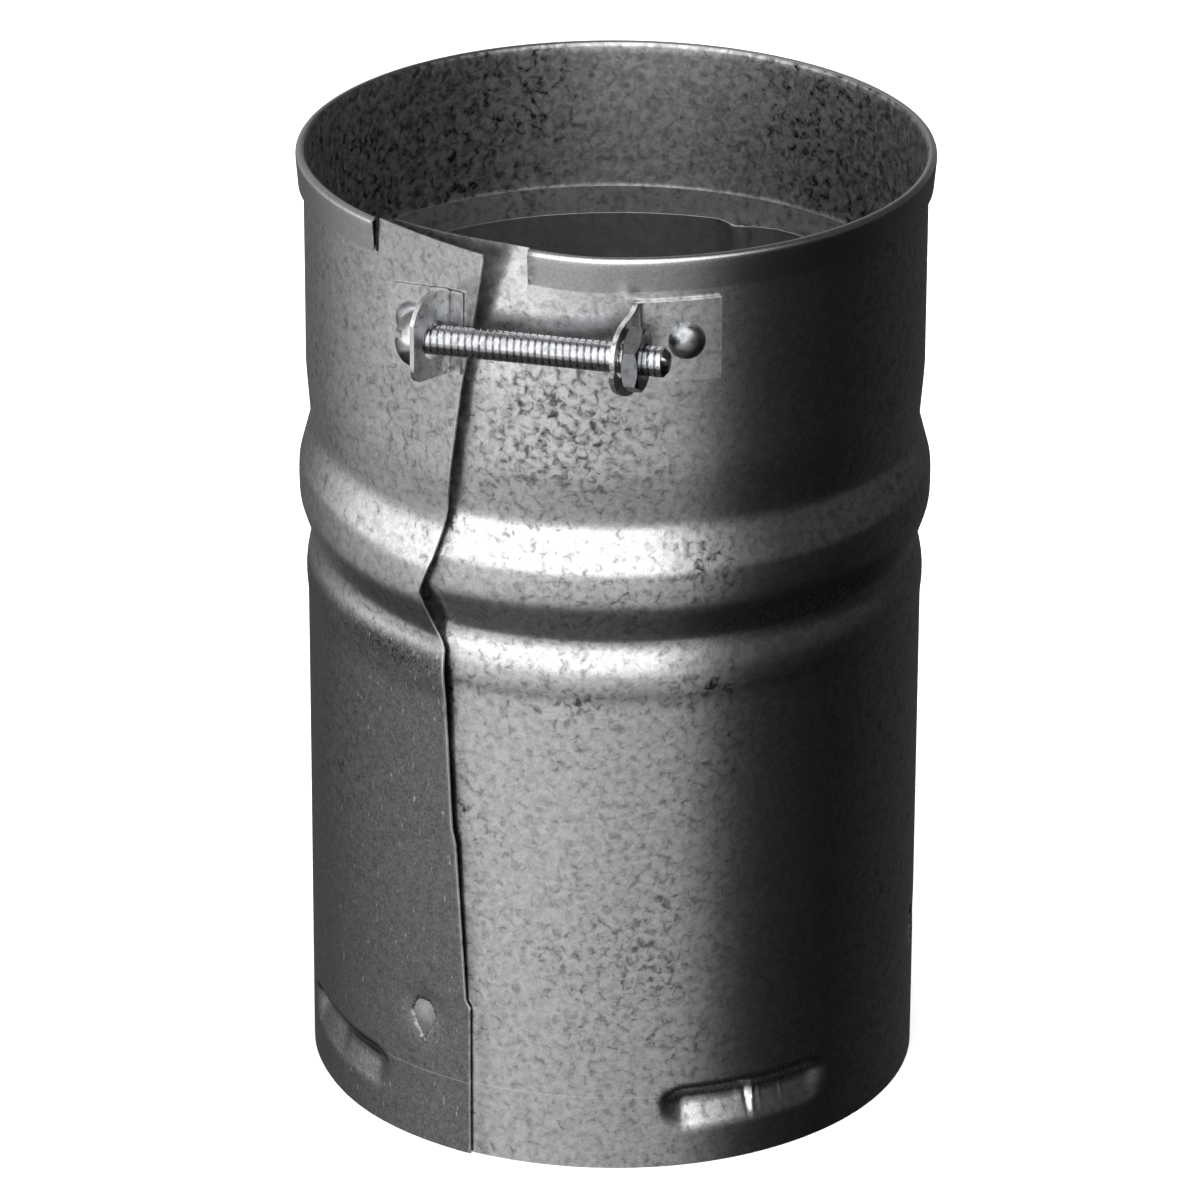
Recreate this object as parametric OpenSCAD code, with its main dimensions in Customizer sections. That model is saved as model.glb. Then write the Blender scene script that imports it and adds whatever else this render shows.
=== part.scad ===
// Gas vent adapter: a rolled double-wall pipe end with a split, screw-clamped collar.
// Millimetres, +Z up. The origin is the centre of the bottom edge and the front faces -Y.
// Angles go round +Z from the front, anticlockwise seen from above.
// A drop is a distance below the rim; a height is measured from the bottom edge.

/* [Outer shell] */
// Outside diameter of the rolled shell
shell_d = 114.3; // [108:0.1:130]
// Height from the bottom edge to the top of the hem
shell_h = 180.4; // [170:0.1:240]
// Thickness of the galvanised sheet
sheet_t = 0.45; // [0.35:0.05:0.6]

/* [Rolled bead] */
// Height above the neck at which the wall is round again
taper_rise = 9.4; // [6:0.1:12]
// Height of the neck above the crest's upper edge
neck_rise = 9.5; // [7:0.1:12]
// How far the neck is drawn in
neck_in = 0.75; // [0.2:0.05:1.2]
// Drop of the middle of the crest
crest_drop = 64.4; // [62:0.1:68]
// Height of the nearly flat crest
crest_h = 7; // [4:0.5:9]
// How far the crest stands out
crest_out = 1.5; // [0.5:0.1:2.5]
// Depth of the sharp groove below the crest's lower edge
groove_fall = 7.7; // [5:0.1:10]
// How far the groove is drawn in
groove_in = 0.7; // [0.2:0.05:1.2]
// Depth of the small shoulder below the groove
shoulder_fall = 7.4; // [5:0.1:10]
// How far the shoulder stands out
shoulder_out = 0.3; // [0.1:0.05:0.8]
// Height over which the shoulder runs out into the straight pipe
foot_fall = 4.4; // [3:0.1:8]

/* [Hem] */
// Height of the folded-over rim
hem_h = 6.4; // [4:0.1:7.2]
// Radius of the rolled fold, to the middle of the sheet
hem_roll = 0.7; // [0.5:0.05:1]
// Gap between the hem's lower edge and the wall
hem_gap = 0.1; // [0.05:0.05:0.3]
// Angle where the hem starts, on the inner end of the sheet
hem_start_a = -16; // [-24:0.5:-8]
// Angle where the hem stops, on the outer end of the sheet
hem_end_a = -50; // [-58:0.5:-46]
// Width of the snip beside the hem's end
snip_w = 0.8; // [0.4:0.1:1.5]

/* [Lap seam] */
// Angle of the sheet's inner edge, hidden under the flap
inner_edge_a = -45.5; // [-46:0.1:-42]
// Gap between the two layers where the seam is closed
lap_gap = 0.08; // [0.06:0.01:0.2]
// Height up to which the seam is closed
closed_h = 30.5; // [24:0.5:40]
// How far the flap's edge stands off at the neck
neck_lift = 1.3; // [0.5:0.1:2]
// How far the flap's edge stands off at the rim
rim_lift = 4.2; // [2:0.1:5]
// How far the inner end of the sheet is pressed in at the rim
press_in = 4.4; // [0:0.1:5]
// Drop above which the inner end is pressed in
press_drop = 26.4; // [20:0.1:28]
// How far the flap's root is drawn in at the rim
draw_in = 1.7; // [0:0.1:2]

/* [Twist-lock grooves] */
// Number of locking grooves round the pipe end
lock_count = 4; // [2:1:4]
// Angle of the middle of the front groove
lock_a = 26.5; // [20:0.5:28]
// Angle that a groove takes up
lock_w = 35; // [20:1:36]
// Height of a groove's lower edge
lock_low = 6.5; // [4:0.5:8]
// Height of a groove's deepest line
lock_mid = 13; // [11:0.5:14]
// Height of a groove's upper edge
lock_high = 17.5; // [16:0.5:19]
// How far a groove is pressed in
lock_in = 2.3; // [1:0.1:3]

/* [Locating dimples] */
// Number of dimples round the shell
dimple_count = 3; // [2:1:3]
// Angle of the dimple on the seam
dimple_a = -37.5; // [-40:0.5:-34]
// Height of the dimples
dimple_z = 26.8; // [25:0.1:28]
// Diameter of a dimple's mouth
dimple_d = 6.2; // [3:0.1:6.4]
// How far a dimple is pressed in
dimple_in = 2; // [1:0.1:2.5]

/* [Inner liner] */
// Bore of the aluminium liner
liner_bore = 101.6; // [94:0.1:102]
// Thickness of the liner's sheet
liner_t = 0.3; // [0.2:0.05:0.5]
// Drop of the liner's top edge
liner_drop = 32; // [30:0.5:40]
// Height of the liner's bottom edge
liner_foot = 3; // [1:0.5:10]
// Angle of the liner's lap seam
liner_seam_a = 150; // [120:1:200]
// Width of the liner's lap
liner_lap = 12; // [6:1:20]

/* [Spacer rings] */
// Thickness of the rings' sheet
ring_t = 0.5; // [0.3:0.05:0.8]
// Clearance between a ring and the walls it keeps apart
ring_fit = 0.06; // [0.03:0.01:0.2]
// Drop of the upper ring's outer edge
upper_ring_drop = 28.8; // [27:0.1:34]
// Height of the lower ring's outer edge
lower_ring_z = 22; // [20:0.5:23]
// Height of the rings' outer lip
outer_lip = 10; // [8:0.5:14]
// Height of the cone between a ring's lips
ring_cone = 4; // [2:0.5:8]
// Height of the rings' inner lip
inner_lip = 7; // [4:0.5:12]

/* [Clamp lugs] */
// Thickness of the lug plates
lug_t = 0.9; // [0.6:0.1:1.2]
// Height of a lug's foot
lug_h = 15.2; // [13:0.1:16]
// Length of a lug's foot round the shell
foot_w = 14.6; // [12:0.1:17]
// How far the left foot reaches past its ear, towards the flap's edge
foot_back = 2.6; // [0:0.1:3]
// How much lower the left foot's far end sits
foot_sag = 2.5; // [0:0.1:3]
// Height of an ear
ear_h = 14.4; // [12:0.1:15]
// Radius of an ear's corners
ear_round = 5; // [2:0.5:6]
// How far the left ear stands out
left_ear_l = 11.6; // [11:0.1:13]
// How far the right ear stands out
right_ear_l = 13.2; // [12:0.1:14]
// Upward tilt of the left ear, as bent by the screw
left_tilt = 4; // [0:1:6]
// Downward tilt of the right ear
right_tilt = 5; // [0:1:6]
// Diameter of the hole that the screw passes through
ear_hole_d = 7; // [6.8:0.1:7.4]
// Clearance under a lug's foot
lug_seat = 0.08; // [0.04:0.01:0.15]
// Drop of the middle of the lugs, and of the screw
lug_drop = 15.9; // [15.5:0.1:18]
// Angle of the left ear's root, on the flap
left_root_a = -29.2; // [-31:0.1:-28]
// Direction in which the left ear stands
left_ear_a = -35; // [-36:0.5:-28]
// Angle of the right ear's root
right_root_a = 4.2; // [3:0.1:7]
// Direction in which the right ear stands
right_ear_a = -22; // [-24:0.5:-14]

/* [Rivets] */
// Diameter of a rivet's shank
rivet_d = 3.2; // [2.4:0.1:4]
// Clearance round the shank
rivet_fit = 0.03; // [0.02:0.01:0.1]
// Clearance under a rivet's head and against its tail
rivet_seat = 0.03; // [0.02:0.01:0.1]
// Diameter of a rivet's domed head
rivet_head_d = 6.7; // [5.5:0.1:7.5]
// Height of the domed head
rivet_head_h = 2.3; // [1.2:0.1:2.8]
// Distance from an ear's root to its rivet
rivet_reach = 8.3; // [7.5:0.1:9.5]
// Diameter of the upset tail inside the shell
tail_d = 4.8; // [4.2:0.1:5.6]
// Height of the upset tail
tail_h = 0.9; // [0.5:0.1:1]

/* [Clamp screw and nut] */
// Diameter over the screw's thread
screw_d = 5.4; // [4.8:0.1:5.6]
// Length under the head
screw_l = 45.5; // [44:0.5:52]
// Distance of the screw's axis from the shell's surface
screw_off = 5.65; // [5.6:0.05:6.2]
// Angle of the shell point that the screw passes over
screw_a = -14.5; // [-16:0.5:-13]
// Diameter of the round head
head_d = 10.4; // [9:0.1:11]
// Height of the round head
head_h = 4.1; // [3:0.1:5]
// Width of the driver slot
slot_w = 1.3; // [0.8:0.1:1.6]
// Depth of the driver slot
slot_deep = 1.9; // [1:0.1:2.4]
// Width of the nut across its flats
nut_af = 10.7; // [9.5:0.1:11]
// Thickness of the nut
nut_t = 3; // [2.4:0.1:3.4]
// Radial clearance between the thread and the nut
thread_fit = 0.03; // [0.02:0.01:0.1]
// Gap between the ears and what is drawn up against them
ear_seat = 0.1; // [0.05:0.05:0.3]

/* [Hidden] */

shell_r = shell_d / 2;
mid_r = shell_r - sheet_t / 2;
bore_r = shell_r - sheet_t;
round_fn = 180;
small_fn = 64;
full_turn = 360;
// The flap leaves the round wall at its root, and the round wall ends there
root_a = -90;
wall_end_a = root_a + full_turn;
// Columns of the hand-bent sheet areas are about this many degrees wide
column_a = 3;
// Where two stretches of one sheet join, one is thinner there on each side by tongue_in and
// runs on into the other by tongue_a or tongue_l, so that no two faces meet flush
tongue_a = 0.3;
tongue_l = 0.3;
tongue_in = 0.04;

// Heights along the wall
crest_mid_z = shell_h - crest_drop;
crest_low_z = crest_mid_z - crest_h / 2;
crest_high_z = crest_mid_z + crest_h / 2;
groove_z = crest_low_z - groove_fall;
shoulder_z = groove_z - shoulder_fall;
foot_z = shoulder_z - foot_fall;
neck_z = crest_high_z + neck_rise;
taper_z = neck_z + taper_rise;
press_z = shell_h - press_drop;
press_row_z = press_z + (shell_h - press_z) * 0.227;
// The ends of the crest are slightly lower than its middle
crest_edge_out = crest_out * 0.9;

// Radial shift of the wall at each height
wall_form = [[0, 0], [foot_z, 0], [shoulder_z, shoulder_out], [groove_z, -groove_in],
    [crest_low_z, crest_edge_out], [crest_mid_z, crest_out], [crest_high_z, crest_edge_out],
    [neck_z, -neck_in], [taper_z, 0], [shell_h, 0]];

// The fold of the hem
roll_z = shell_h - sheet_t / 2 - hem_roll;
roll_r = mid_r + hem_roll;
hem_low_z = shell_h - hem_h;
roll_end_a = -8;
// Top of the sheet where it isn't hemmed
raw_edge_z = roll_z - tongue_in;

// The flap's free edge: [height, angle]. Two of its heights are shares of the stretch they stand in
edge_low_z = closed_h + (foot_z - closed_h) * 0.544;
edge_high_z = press_z + (shell_h - press_z) * 0.583;
flap_edge = [[0, -26.5], [closed_h, -26.5], [closed_h + tongue_l, -27], [edge_low_z, -29.5],
    [(shoulder_z + groove_z) / 2, -31.6], [groove_z, -33.6], [crest_low_z, -35.9],
    [crest_high_z, -33.2], [neck_z, -31], [press_z, -27], [edge_high_z, -24.1], [shell_h, -22.3]];
// How far the flap's edge stands off, by height
flap_lift = [[closed_h, 0], [neck_z, neck_lift], [shell_h, rim_lift]];
// The flap starts to lift at this angle
lift_a = -50;
// Columns between the hem's end and the flap's edge
flap_columns = 8;
// The flap climbs over the inner edge between these angles
climb_from_a = -75;
climb_to_a = inner_edge_a - 1.5;
// Middle and half width of the pressed-in stretch, and of the drawn-in root
press_a = -33;
press_w = -press_a;
draw_a = -46;
draw_w = 40;

// The locking grooves
lock_soft_a = 3;
lock_flat = 1;
lock_form = [[lock_low, 0], [lock_mid - lock_flat / 2, -lock_in],
    [lock_mid + lock_flat / 2, -lock_in], [lock_high, 0]];
lock_lead = 1;
lock_cap_a = 0.5;

// A dimple's rim stands this far proud
dimple_rim = 0.05;

// The liner and its rings
liner_r = liner_bore / 2;
liner_out_r = liner_r + liner_t;
liner_top_z = shell_h - liner_drop;
liner_step_a = 0.2;
liner_open_a = 1;
ring_out_r = bore_r - ring_fit - ring_t / 2;
ring_in_r = liner_out_r + ring_fit + ring_t / 2;

// The clamp
lug_z = shell_h - lug_drop;
screw_r = shell_r + screw_off;
axis_t = [cos(screw_a), sin(screw_a)];
axis_n = [sin(screw_a), -cos(screw_a)];
head_r = head_d / 2;
nut_corner_r = nut_af / 2 / cos(30);
nut_chamfer = 0.5;
point_h = 0.8;
slot_turn_a = 62;

// A point at radius r, angle a and height z
function at(r, a, z = 0) = [r * sin(a), -r * cos(a), z];

// Round curve from 0 to 1 for x from 0 to 1
function ease(x) = let (u = min(1, max(0, x))) u * u * (3 - 2 * u);

// A hump of height 1 at the middle, and 0 at half width w
function hump(a, middle, w) =
    abs(a - middle) >= w ? 0 : 0.5 + 0.5 * cos(180 * (a - middle) / w);

// n values from first, stopping short of last
function spread(first, last, n) = [for (i = [0:n - 1]) first + (last - first) * i / n];

// Normal to the right of the segment that starts at point i of a line
function segment_n(line, i) = let (d = line[i + 1] - line[i]) [d[1], -d[0]] / norm(d);

// Mitred normal at point i of a line
function corner_n(line, i) =
    i == 0 ? segment_n(line, 0)
    : i == len(line) - 1 ? segment_n(line, i - 1)
    : let (a = segment_n(line, i - 1), b = segment_n(line, i)) (a + b) / (1 + a * b);

// The line moved sideways by a distance
function side(line, off) = [for (i = [0:len(line) - 1]) line[i] + off * corner_n(line, i)];

// The line with both its ends drawn back along it by a distance
function shortened(line, by) =
    let (last = len(line) - 1)
    let (first_way = (line[1] - line[0]) / norm(line[1] - line[0]))
    let (last_way = (line[last - 1] - line[last]) / norm(line[last - 1] - line[last]))
    [for (i = [0:last]) line[i] + (i == 0 ? by * first_way : i == last ? by * last_way : [0, 0])];

// Outline of a sheet of thickness t that follows a line
function strip(line, t) =
    let (left = side(line, -t / 2))
    concat(side(line, t / 2), [for (i = [len(left) - 1:-1:0]) left[i]]);

// The wall's middle line through the given heights
function wall_line(heights) = [for (z = heights) [mid_r + lookup(z, wall_form), z]];

// The folded rim's middle line, from the top of the wall over and down
function hem_line() =
    concat(
        [for (a = [150:-30:0]) [roll_r + hem_roll * cos(a), roll_z + hem_roll * sin(a)]],
        [[roll_r + hem_roll * cos(roll_end_a), roll_z + hem_roll * sin(roll_end_a)]],
        [[shell_r + hem_gap + sheet_t / 2, hem_low_z]]
    );

// Depth of a locking groove at an angle and height, with its soft ends
function lock_push(a, z) =
    let (pitch = full_turn / lock_count)
    let (turns = round((a - lock_a) / pitch))
    let (away = abs(a - lock_a - turns * pitch))
    lookup(z, lock_form) * lookup(away, [[lock_w / 2 - lock_soft_a, 1], [lock_w / 2, 0]]);

// How much of the rim's bending reaches down to a height
function rim_share(z) = max(0, (z - press_z) / (shell_h - press_z));

// Radial shift of the flap from the round wall
function flap_push(a, z) =
    let (over = (a - lift_a) / (lookup(z, flap_edge) - lift_a))
    let (climb = ease((a - climb_from_a) / (climb_to_a - climb_from_a)))
    climb * (sheet_t + lap_gap)
    + lookup(z, flap_lift) * pow(max(0, over), 2)
    - draw_in * rim_share(z) * hump(a, draw_a, draw_w)
    + lock_push(a, z);

// Radial shift of the inner end of the sheet
function press_push(a, z) = -press_in * rim_share(z) * hump(a, press_a, press_w);

// Two triangles for four corners
function quad(a, b, c, d) = [[a, b, c], [a, c, d]];

// The columns of a bent sheet, as [share of the way, angle past it, 1 if thinned]. A tongue
// has a column on each side of the place where the stretches join, and none in that plane
function sheet_columns(n, tongue_first, tongue_last) =
    let (tongue = function(share) [[share, -tongue_a, 1], [share, tongue_a, 1]])
    concat(
        tongue_first ? tongue(0) : [[0, 0, 0]],
        [for (j = [1:n - 1]) [j / n, 0, 0]],
        tongue_last ? tongue(1) : [[1, 0, 0]]
    );

// A sheet of thickness t along a line of [radius, height], carried round the axis from one
// angle to end_a(height), shifted outwards by push(angle, height) and down by sag(angle)
module bent_sheet(line, t, start_a, end_a, push, columns, sag = function(a) 0,
        tongue_first = false, tongue_last = false, tongue_low = false) {
    n = len(line);
    sides = [for (thinned = [0:2]) [for (sign = [1, -1])
        side(shortened(line, thinned * tongue_in), sign * (t / 2 - thinned * tongue_in))]];
    cols = sheet_columns(columns, tongue_first, tongue_last);
    last = len(cols) - 1;
    points = [
        for (c = cols)
            for (i = [0:n - 1])
                for (s = [0:1])
                    let (z = line[i][1])
                    let (a = start_a + (end_a(z) - start_a) * c[0] + c[1])
                    let (p = sides[c[2] + (tongue_low && i < 2 ? 1 : 0)][s][i])
                    at(p[0] + push(a, z), a, p[1] - sag(a))
    ];
    id = function(j, i, s) (j * n + i) * 2 + s;
    faces = concat(
        [for (j = [0:last - 1]) for (i = [0:n - 2])
            each quad(id(j, i, 0), id(j, i + 1, 0), id(j + 1, i + 1, 0), id(j + 1, i, 0))],
        [for (j = [0:last - 1]) for (i = [0:n - 2])
            each quad(id(j, i, 1), id(j + 1, i, 1), id(j + 1, i + 1, 1), id(j, i + 1, 1))],
        [for (j = [0:last - 1])
            each quad(id(j, 0, 0), id(j + 1, 0, 0), id(j + 1, 0, 1), id(j, 0, 1))],
        [for (j = [0:last - 1])
            each quad(id(j + 1, n - 1, 0), id(j, n - 1, 0), id(j, n - 1, 1), id(j + 1, n - 1, 1))],
        [for (i = [0:n - 2])
            each quad(id(0, i + 1, 0), id(0, i, 0), id(0, i, 1), id(0, i + 1, 1))],
        [for (i = [0:n - 2])
            each quad(id(last, i, 0), id(last, i + 1, 0), id(last, i + 1, 1), id(last, i, 1))]
    );
    polyhedron(points, faces);
}

// Outline of a straight band between two radii and two heights
function ring_band(r_in, r_out, low, high) =
    [[r_in, low], [r_out, low], [r_out, high], [r_in, high]];

// An outline of [radius, height] turned about the axis from one angle to another
module turned(outline, start_a, end_a) {
    rotate([0, 0, start_a - 90])
        rotate_extrude(angle = end_a - start_a, $fn = round_fn)
            polygon(outline);
}

// Puts children with their own Z axis pointing outwards at angle a
module outward(a, r, z) {
    translate(at(r, a, z))
        rotate([0, 0, a - 90])
            rotate([0, 90, 0])
                children();
}

// The grooves that lie wholly in the round wall
module round_locks() {
    for (k = [0:lock_count - 1]) {
        a = lock_a + k * full_turn / lock_count;
        if (a - lock_w / 2 > inner_edge_a && a + lock_w / 2 < wall_end_a)
            rotate([0, 0, a])
                children();
    }
}

// The opening in the round wall that a groove fills
module lock_window() {
    turned(ring_band(bore_r - 1, shell_r + 1, lock_low - lock_lead, lock_high + lock_lead),
        -lock_w / 2, lock_w / 2);
}

// A groove's middle line, with leads that run on into the wall by a length
function lock_line(more) = concat(
    [[mid_r, lock_low - lock_lead - more]],
    [for (p = lock_form) [mid_r + p[1], p[0]]],
    [[mid_r, lock_high + lock_lead + more]]
);

// A side of the groove's sheet, thinned at the ends of its leads
function lock_side(sign) =
    let (line = lock_line(tongue_l))
    let (full = side(line, sign * sheet_t / 2))
    let (thin = side(line, sign * (sheet_t / 2 - tongue_in)))
    let (last = len(line) - 1)
    [for (i = [0:last]) i == 0 || i == last ? thin[i] : full[i]];

// One pressed groove with its two steep ends
module lock_groove() {
    end_a = lock_w / 2;
    back = lock_side(-1);
    steep_z = lock_lead + 2 * tongue_l;
    steep_r = shell_r - 2 * tongue_in;
    turned(concat(lock_side(1), [for (i = [len(back) - 1:-1:0]) back[i]]),
        lock_cap_a / 4 - end_a, end_a - lock_cap_a / 4);
    steep = concat(side(lock_line(2 * tongue_l), 2 * tongue_in - sheet_t / 2),
        [[steep_r, lock_high + steep_z], [steep_r, lock_low - steep_z]]);
    for (a = [-end_a, end_a])
        turned(steep, a - lock_cap_a / 2, a + lock_cap_a / 2);
}

// One dimple's cup, pressed through layers that reach a distance out past the round wall
module dimple_cup(past) {
    mouth_r = dimple_d / 2;
    deep = dimple_in + past;
    arc = [for (a = [0:15:90]) [cos(a), sin(a)]];
    upper = [for (p = arc) [mouth_r * p[0], -deep * p[1]]];
    lower = [for (i = [len(arc) - 1:-1:0])
        [(mouth_r + sheet_t) * arc[i][0], -(deep + sheet_t) * arc[i][1]]];
    rotate_extrude($fn = small_fn)
        polygon(concat(upper, lower));
}

// Distance that the layers at a dimple reach out past the round wall
function dimple_past(k) = k == 0 ? sheet_t + lap_gap : 0;

module dimples() {
    for (k = [0:dimple_count - 1])
        outward(dimple_a + k * full_turn / dimple_count,
                shell_r + dimple_past(k) + dimple_rim, dimple_z)
            dimple_cup(dimple_past(k));
}

module dimple_holes(d, reach) {
    for (k = [0:dimple_count - 1])
        outward(dimple_a + k * full_turn / dimple_count, shell_r, dimple_z)
            cylinder(d = d, h = reach * 2, center = true, $fn = small_fn);
}

// The round part of the wall, with its grooves. Above press_z its inner end is cut off
module round_wall() {
    plain = [for (p = wall_form) if (p[0] < shell_h) p[0]];
    difference() {
        turned(strip(concat(wall_line(concat(plain, [roll_z])), hem_line()), sheet_t),
            inner_edge_a, wall_end_a);
        turned(ring_band(bore_r - 1, shell_r + press_in, press_z, shell_h + 1),
            inner_edge_a - 1, 0);
        round_locks() lock_window();
    }
    round_locks() lock_groove();
}

// The inner end of the sheet above the round part, pressed in towards the rim
module pressed_end() {
    start_a = inner_edge_a + tongue_a;
    foot = [press_z - tongue_l, press_z + tongue_l];
    bare = wall_line(concat(foot, spread(press_row_z, raw_edge_z, 3), [raw_edge_z]));
    hemmed = concat(wall_line(concat(foot, spread(press_row_z, roll_z, 3), [roll_z])), hem_line());
    push = function(a, z) press_push(a, z);
    bent_sheet(bare, sheet_t, start_a, function(z) hem_start_a, push,
        round((hem_start_a - start_a) / column_a), tongue_last = true, tongue_low = true);
    bent_sheet(hemmed, sheet_t, hem_start_a, function(z) 0, push,
        round(-hem_start_a / column_a), tongue_last = true, tongue_low = true);
}

// The outer end of the sheet, from its root over the inner end to its free edge
module flap() {
    low = concat(
        spread(0, lock_low, 2), spread(lock_low, lock_mid, 3), spread(lock_mid, lock_high, 2),
        spread(lock_high, closed_h, 2), [closed_h], spread(closed_h + 0.5, foot_z, 6),
        spread(foot_z, shoulder_z, 1), spread(shoulder_z, groove_z, 2),
        spread(groove_z, crest_low_z, 2), spread(crest_low_z, crest_mid_z, 1),
        spread(crest_mid_z, crest_high_z, 1), spread(crest_high_z, neck_z, 2),
        spread(neck_z, taper_z, 2), spread(taper_z, press_z, 2), spread(press_z, hem_low_z, 3)
    );
    push = function(a, z) flap_push(a, z);
    bent_sheet(
        concat(wall_line(concat(low, [hem_low_z, roll_z])), hem_line()),
        sheet_t, root_a, function(z) hem_end_a, push, round((hem_end_a - root_a) / column_a),
        tongue_first = true);
    bent_sheet(
        wall_line(concat(low, [hem_low_z, raw_edge_z])),
        sheet_t, hem_end_a, function(z) lookup(z, flap_edge), push, flap_columns,
        tongue_first = true);
}

// The snip that frees the hem's end from the flap
module snip() {
    from_a = hem_end_a - tongue_a / 2;
    turned(ring_band(bore_r - rim_lift, shell_r + rim_lift, hem_low_z - tongue_l, shell_h + 1),
        from_a, from_a + arc_a(snip_w));
}

// The outer shell: one sheet, rolled, beaded, hemmed, grooved and lapped
module shell() {
    color("silver")
        difference() {
            union() {
                difference() {
                    union() {
                        round_wall();
                        pressed_end();
                        flap();
                    }
                    dimple_holes(dimple_d + sheet_t / 2, dimple_in);
                }
                dimples();
            }
            snip();
            rivet_hole(left_rivet_place());
            rivet_hole(right_rivet_place());
        }
}

// The flue liner: one thin sheet whose end steps inwards and laps the start
module liner() {
    lap_r = liner_r - liner_t - lap_gap;
    tube = ring_band(liner_r, liner_out_r, liner_foot, liner_top_z);
    lap = ring_band(lap_r, lap_r + liner_t, liner_foot, liner_top_z);
    link = ring_band(lap_r + liner_t / 2, liner_r + liner_t / 2, liner_foot, liner_top_z);
    color("lightgray") {
        turned(tube, liner_seam_a - full_turn + liner_open_a, liner_seam_a);
        turned(link, liner_seam_a - 2 * liner_step_a, liner_seam_a - liner_step_a);
        turned(lap, liner_seam_a - 3 * liner_step_a, liner_seam_a + liner_lap);
    }
}

// A spacer ring's outline, from its outer lip to its inner lip
function ring_line(z, up) = [
    [ring_out_r, z],
    [ring_out_r, z + up * outer_lip],
    [ring_in_r, z + up * (outer_lip + ring_cone)],
    [ring_in_r, z + up * (outer_lip + ring_cone + inner_lip)]
];

module upper_spacer() {
    color("gainsboro")
        rotate_extrude($fn = round_fn)
            polygon(strip(ring_line(shell_h - upper_ring_drop, -1), ring_t));
}

module lower_spacer() {
    color("gainsboro")
        difference() {
            rotate_extrude($fn = round_fn)
                polygon(strip(ring_line(lower_ring_z, 1), ring_t));
            dimple_holes(dimple_d + 2 * (sheet_t + ring_fit), dimple_in + sheet_t + ring_t);
        }
}

// Where an ear's middle plane meets the shell, and the plane's direction
left_root = at(shell_r + flap_push(left_root_a, lug_z) + lug_seat, left_root_a, lug_z);
right_root = at(shell_r + lug_seat, right_root_a, lug_z);

// Angle round the shell of an arc length
function arc_a(length) = length / shell_r * 180 / PI;

// An ear's outline, from a sheet's thickness below its root, with its two outer corners rounded
module ear_form(length) {
    translate([-lug_t, -ear_h / 2])
        square([length - ear_round + lug_t, ear_h]);
    translate([0, -ear_h / 2 + ear_round])
        square([length, ear_h - 2 * ear_round]);
    for (y = [-1, 1])
        translate([length - ear_round, y * (ear_h / 2 - ear_round)])
            circle(r = ear_round, $fn = small_fn);
}

// An ear plate with its screw hole on the screw's axis. It starts in the middle of the foot's plate
module ear(root, a, length, tilt) {
    e = [sin(a), -cos(a)];
    foot = [root[0], root[1]];
    hole = (screw_r - foot * axis_n) / (e * axis_n);
    difference() {
        translate(root)
            rotate([0, 0, a - 90])
                rotate([90, 0, 0])
                    linear_extrude(lug_t, center = true)
                        difference() {
                            rotate([0, 0, tilt])
                                ear_form(length);
                            translate([hole, 0])
                                circle(d = ear_hole_d, $fn = small_fn);
                        }
        translate([0, 0, root[2]])
            cylinder(r = norm(foot) + lug_t / 2, h = 2 * lug_h, center = true, $fn = round_fn);
    }
}

// Where a rivet's axis passes the shell's surface, its direction round the axis, and how far it
// leans down to stay square to the sheet
function left_rivet_place() =
    let (a = left_root_a - arc_a(rivet_reach))
    let (p = at(shell_r + flap_push(a - 1, lug_z), a - 1))
    let (q = at(shell_r + flap_push(a + 1, lug_z), a + 1))
    let (lean = atan2(flap_push(a, lug_z + 1) - flap_push(a, lug_z - 1), 2))
    [at(shell_r + flap_push(a, lug_z), a, lug_z), atan2(q[1] - p[1], q[0] - p[0]), lean];

function right_rivet_place() =
    let (a = right_root_a + arc_a(rivet_reach))
    [at(shell_r, a, lug_z), a, 0];

// Puts children with their own Z axis pointing outwards at a rivet's place
module at_rivet(place) {
    translate(place[0])
        rotate([0, 0, place[1] - 90])
            rotate([0, 90 + place[2], 0])
                children();
}

module rivet_hole(place) {
    at_rivet(place)
        cylinder(d = rivet_d + 2 * rivet_fit, h = 6 * lug_t, center = true, $fn = small_fn);
}

module left_lug() {
    low = lug_z - lug_h / 2;
    foot_line = [for (z = concat(spread(low, low + lug_h, 4), [low + lug_h]))
        [shell_r + lug_seat + lug_t / 2, z]];
    start_a = left_root_a - arc_a(foot_w);
    end_a = left_root_a + arc_a(foot_back);
    sag = function(a) foot_sag * max(0, left_root_a - a) / arc_a(foot_w);
    color("lightsteelblue")
        difference() {
            union() {
                bent_sheet(foot_line, lug_t, start_a, function(z) end_a,
                    function(a, z) flap_push(a, z - sag(a)), 6, sag);
                ear(left_root, left_ear_a, left_ear_l, left_tilt);
            }
            rivet_hole(left_rivet_place());
        }
}

module right_lug() {
    low = lug_z - lug_h / 2;
    inner_r = shell_r + lug_seat;
    foot = ring_band(inner_r, inner_r + lug_t, low, low + lug_h);
    color("lightsteelblue")
        difference() {
            union() {
                turned(foot, right_root_a - arc_a(lug_t / 2), right_root_a + arc_a(foot_w));
                ear(right_root, right_ear_a, right_ear_l, -right_tilt);
            }
            rivet_hole(right_rivet_place());
        }
}

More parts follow.
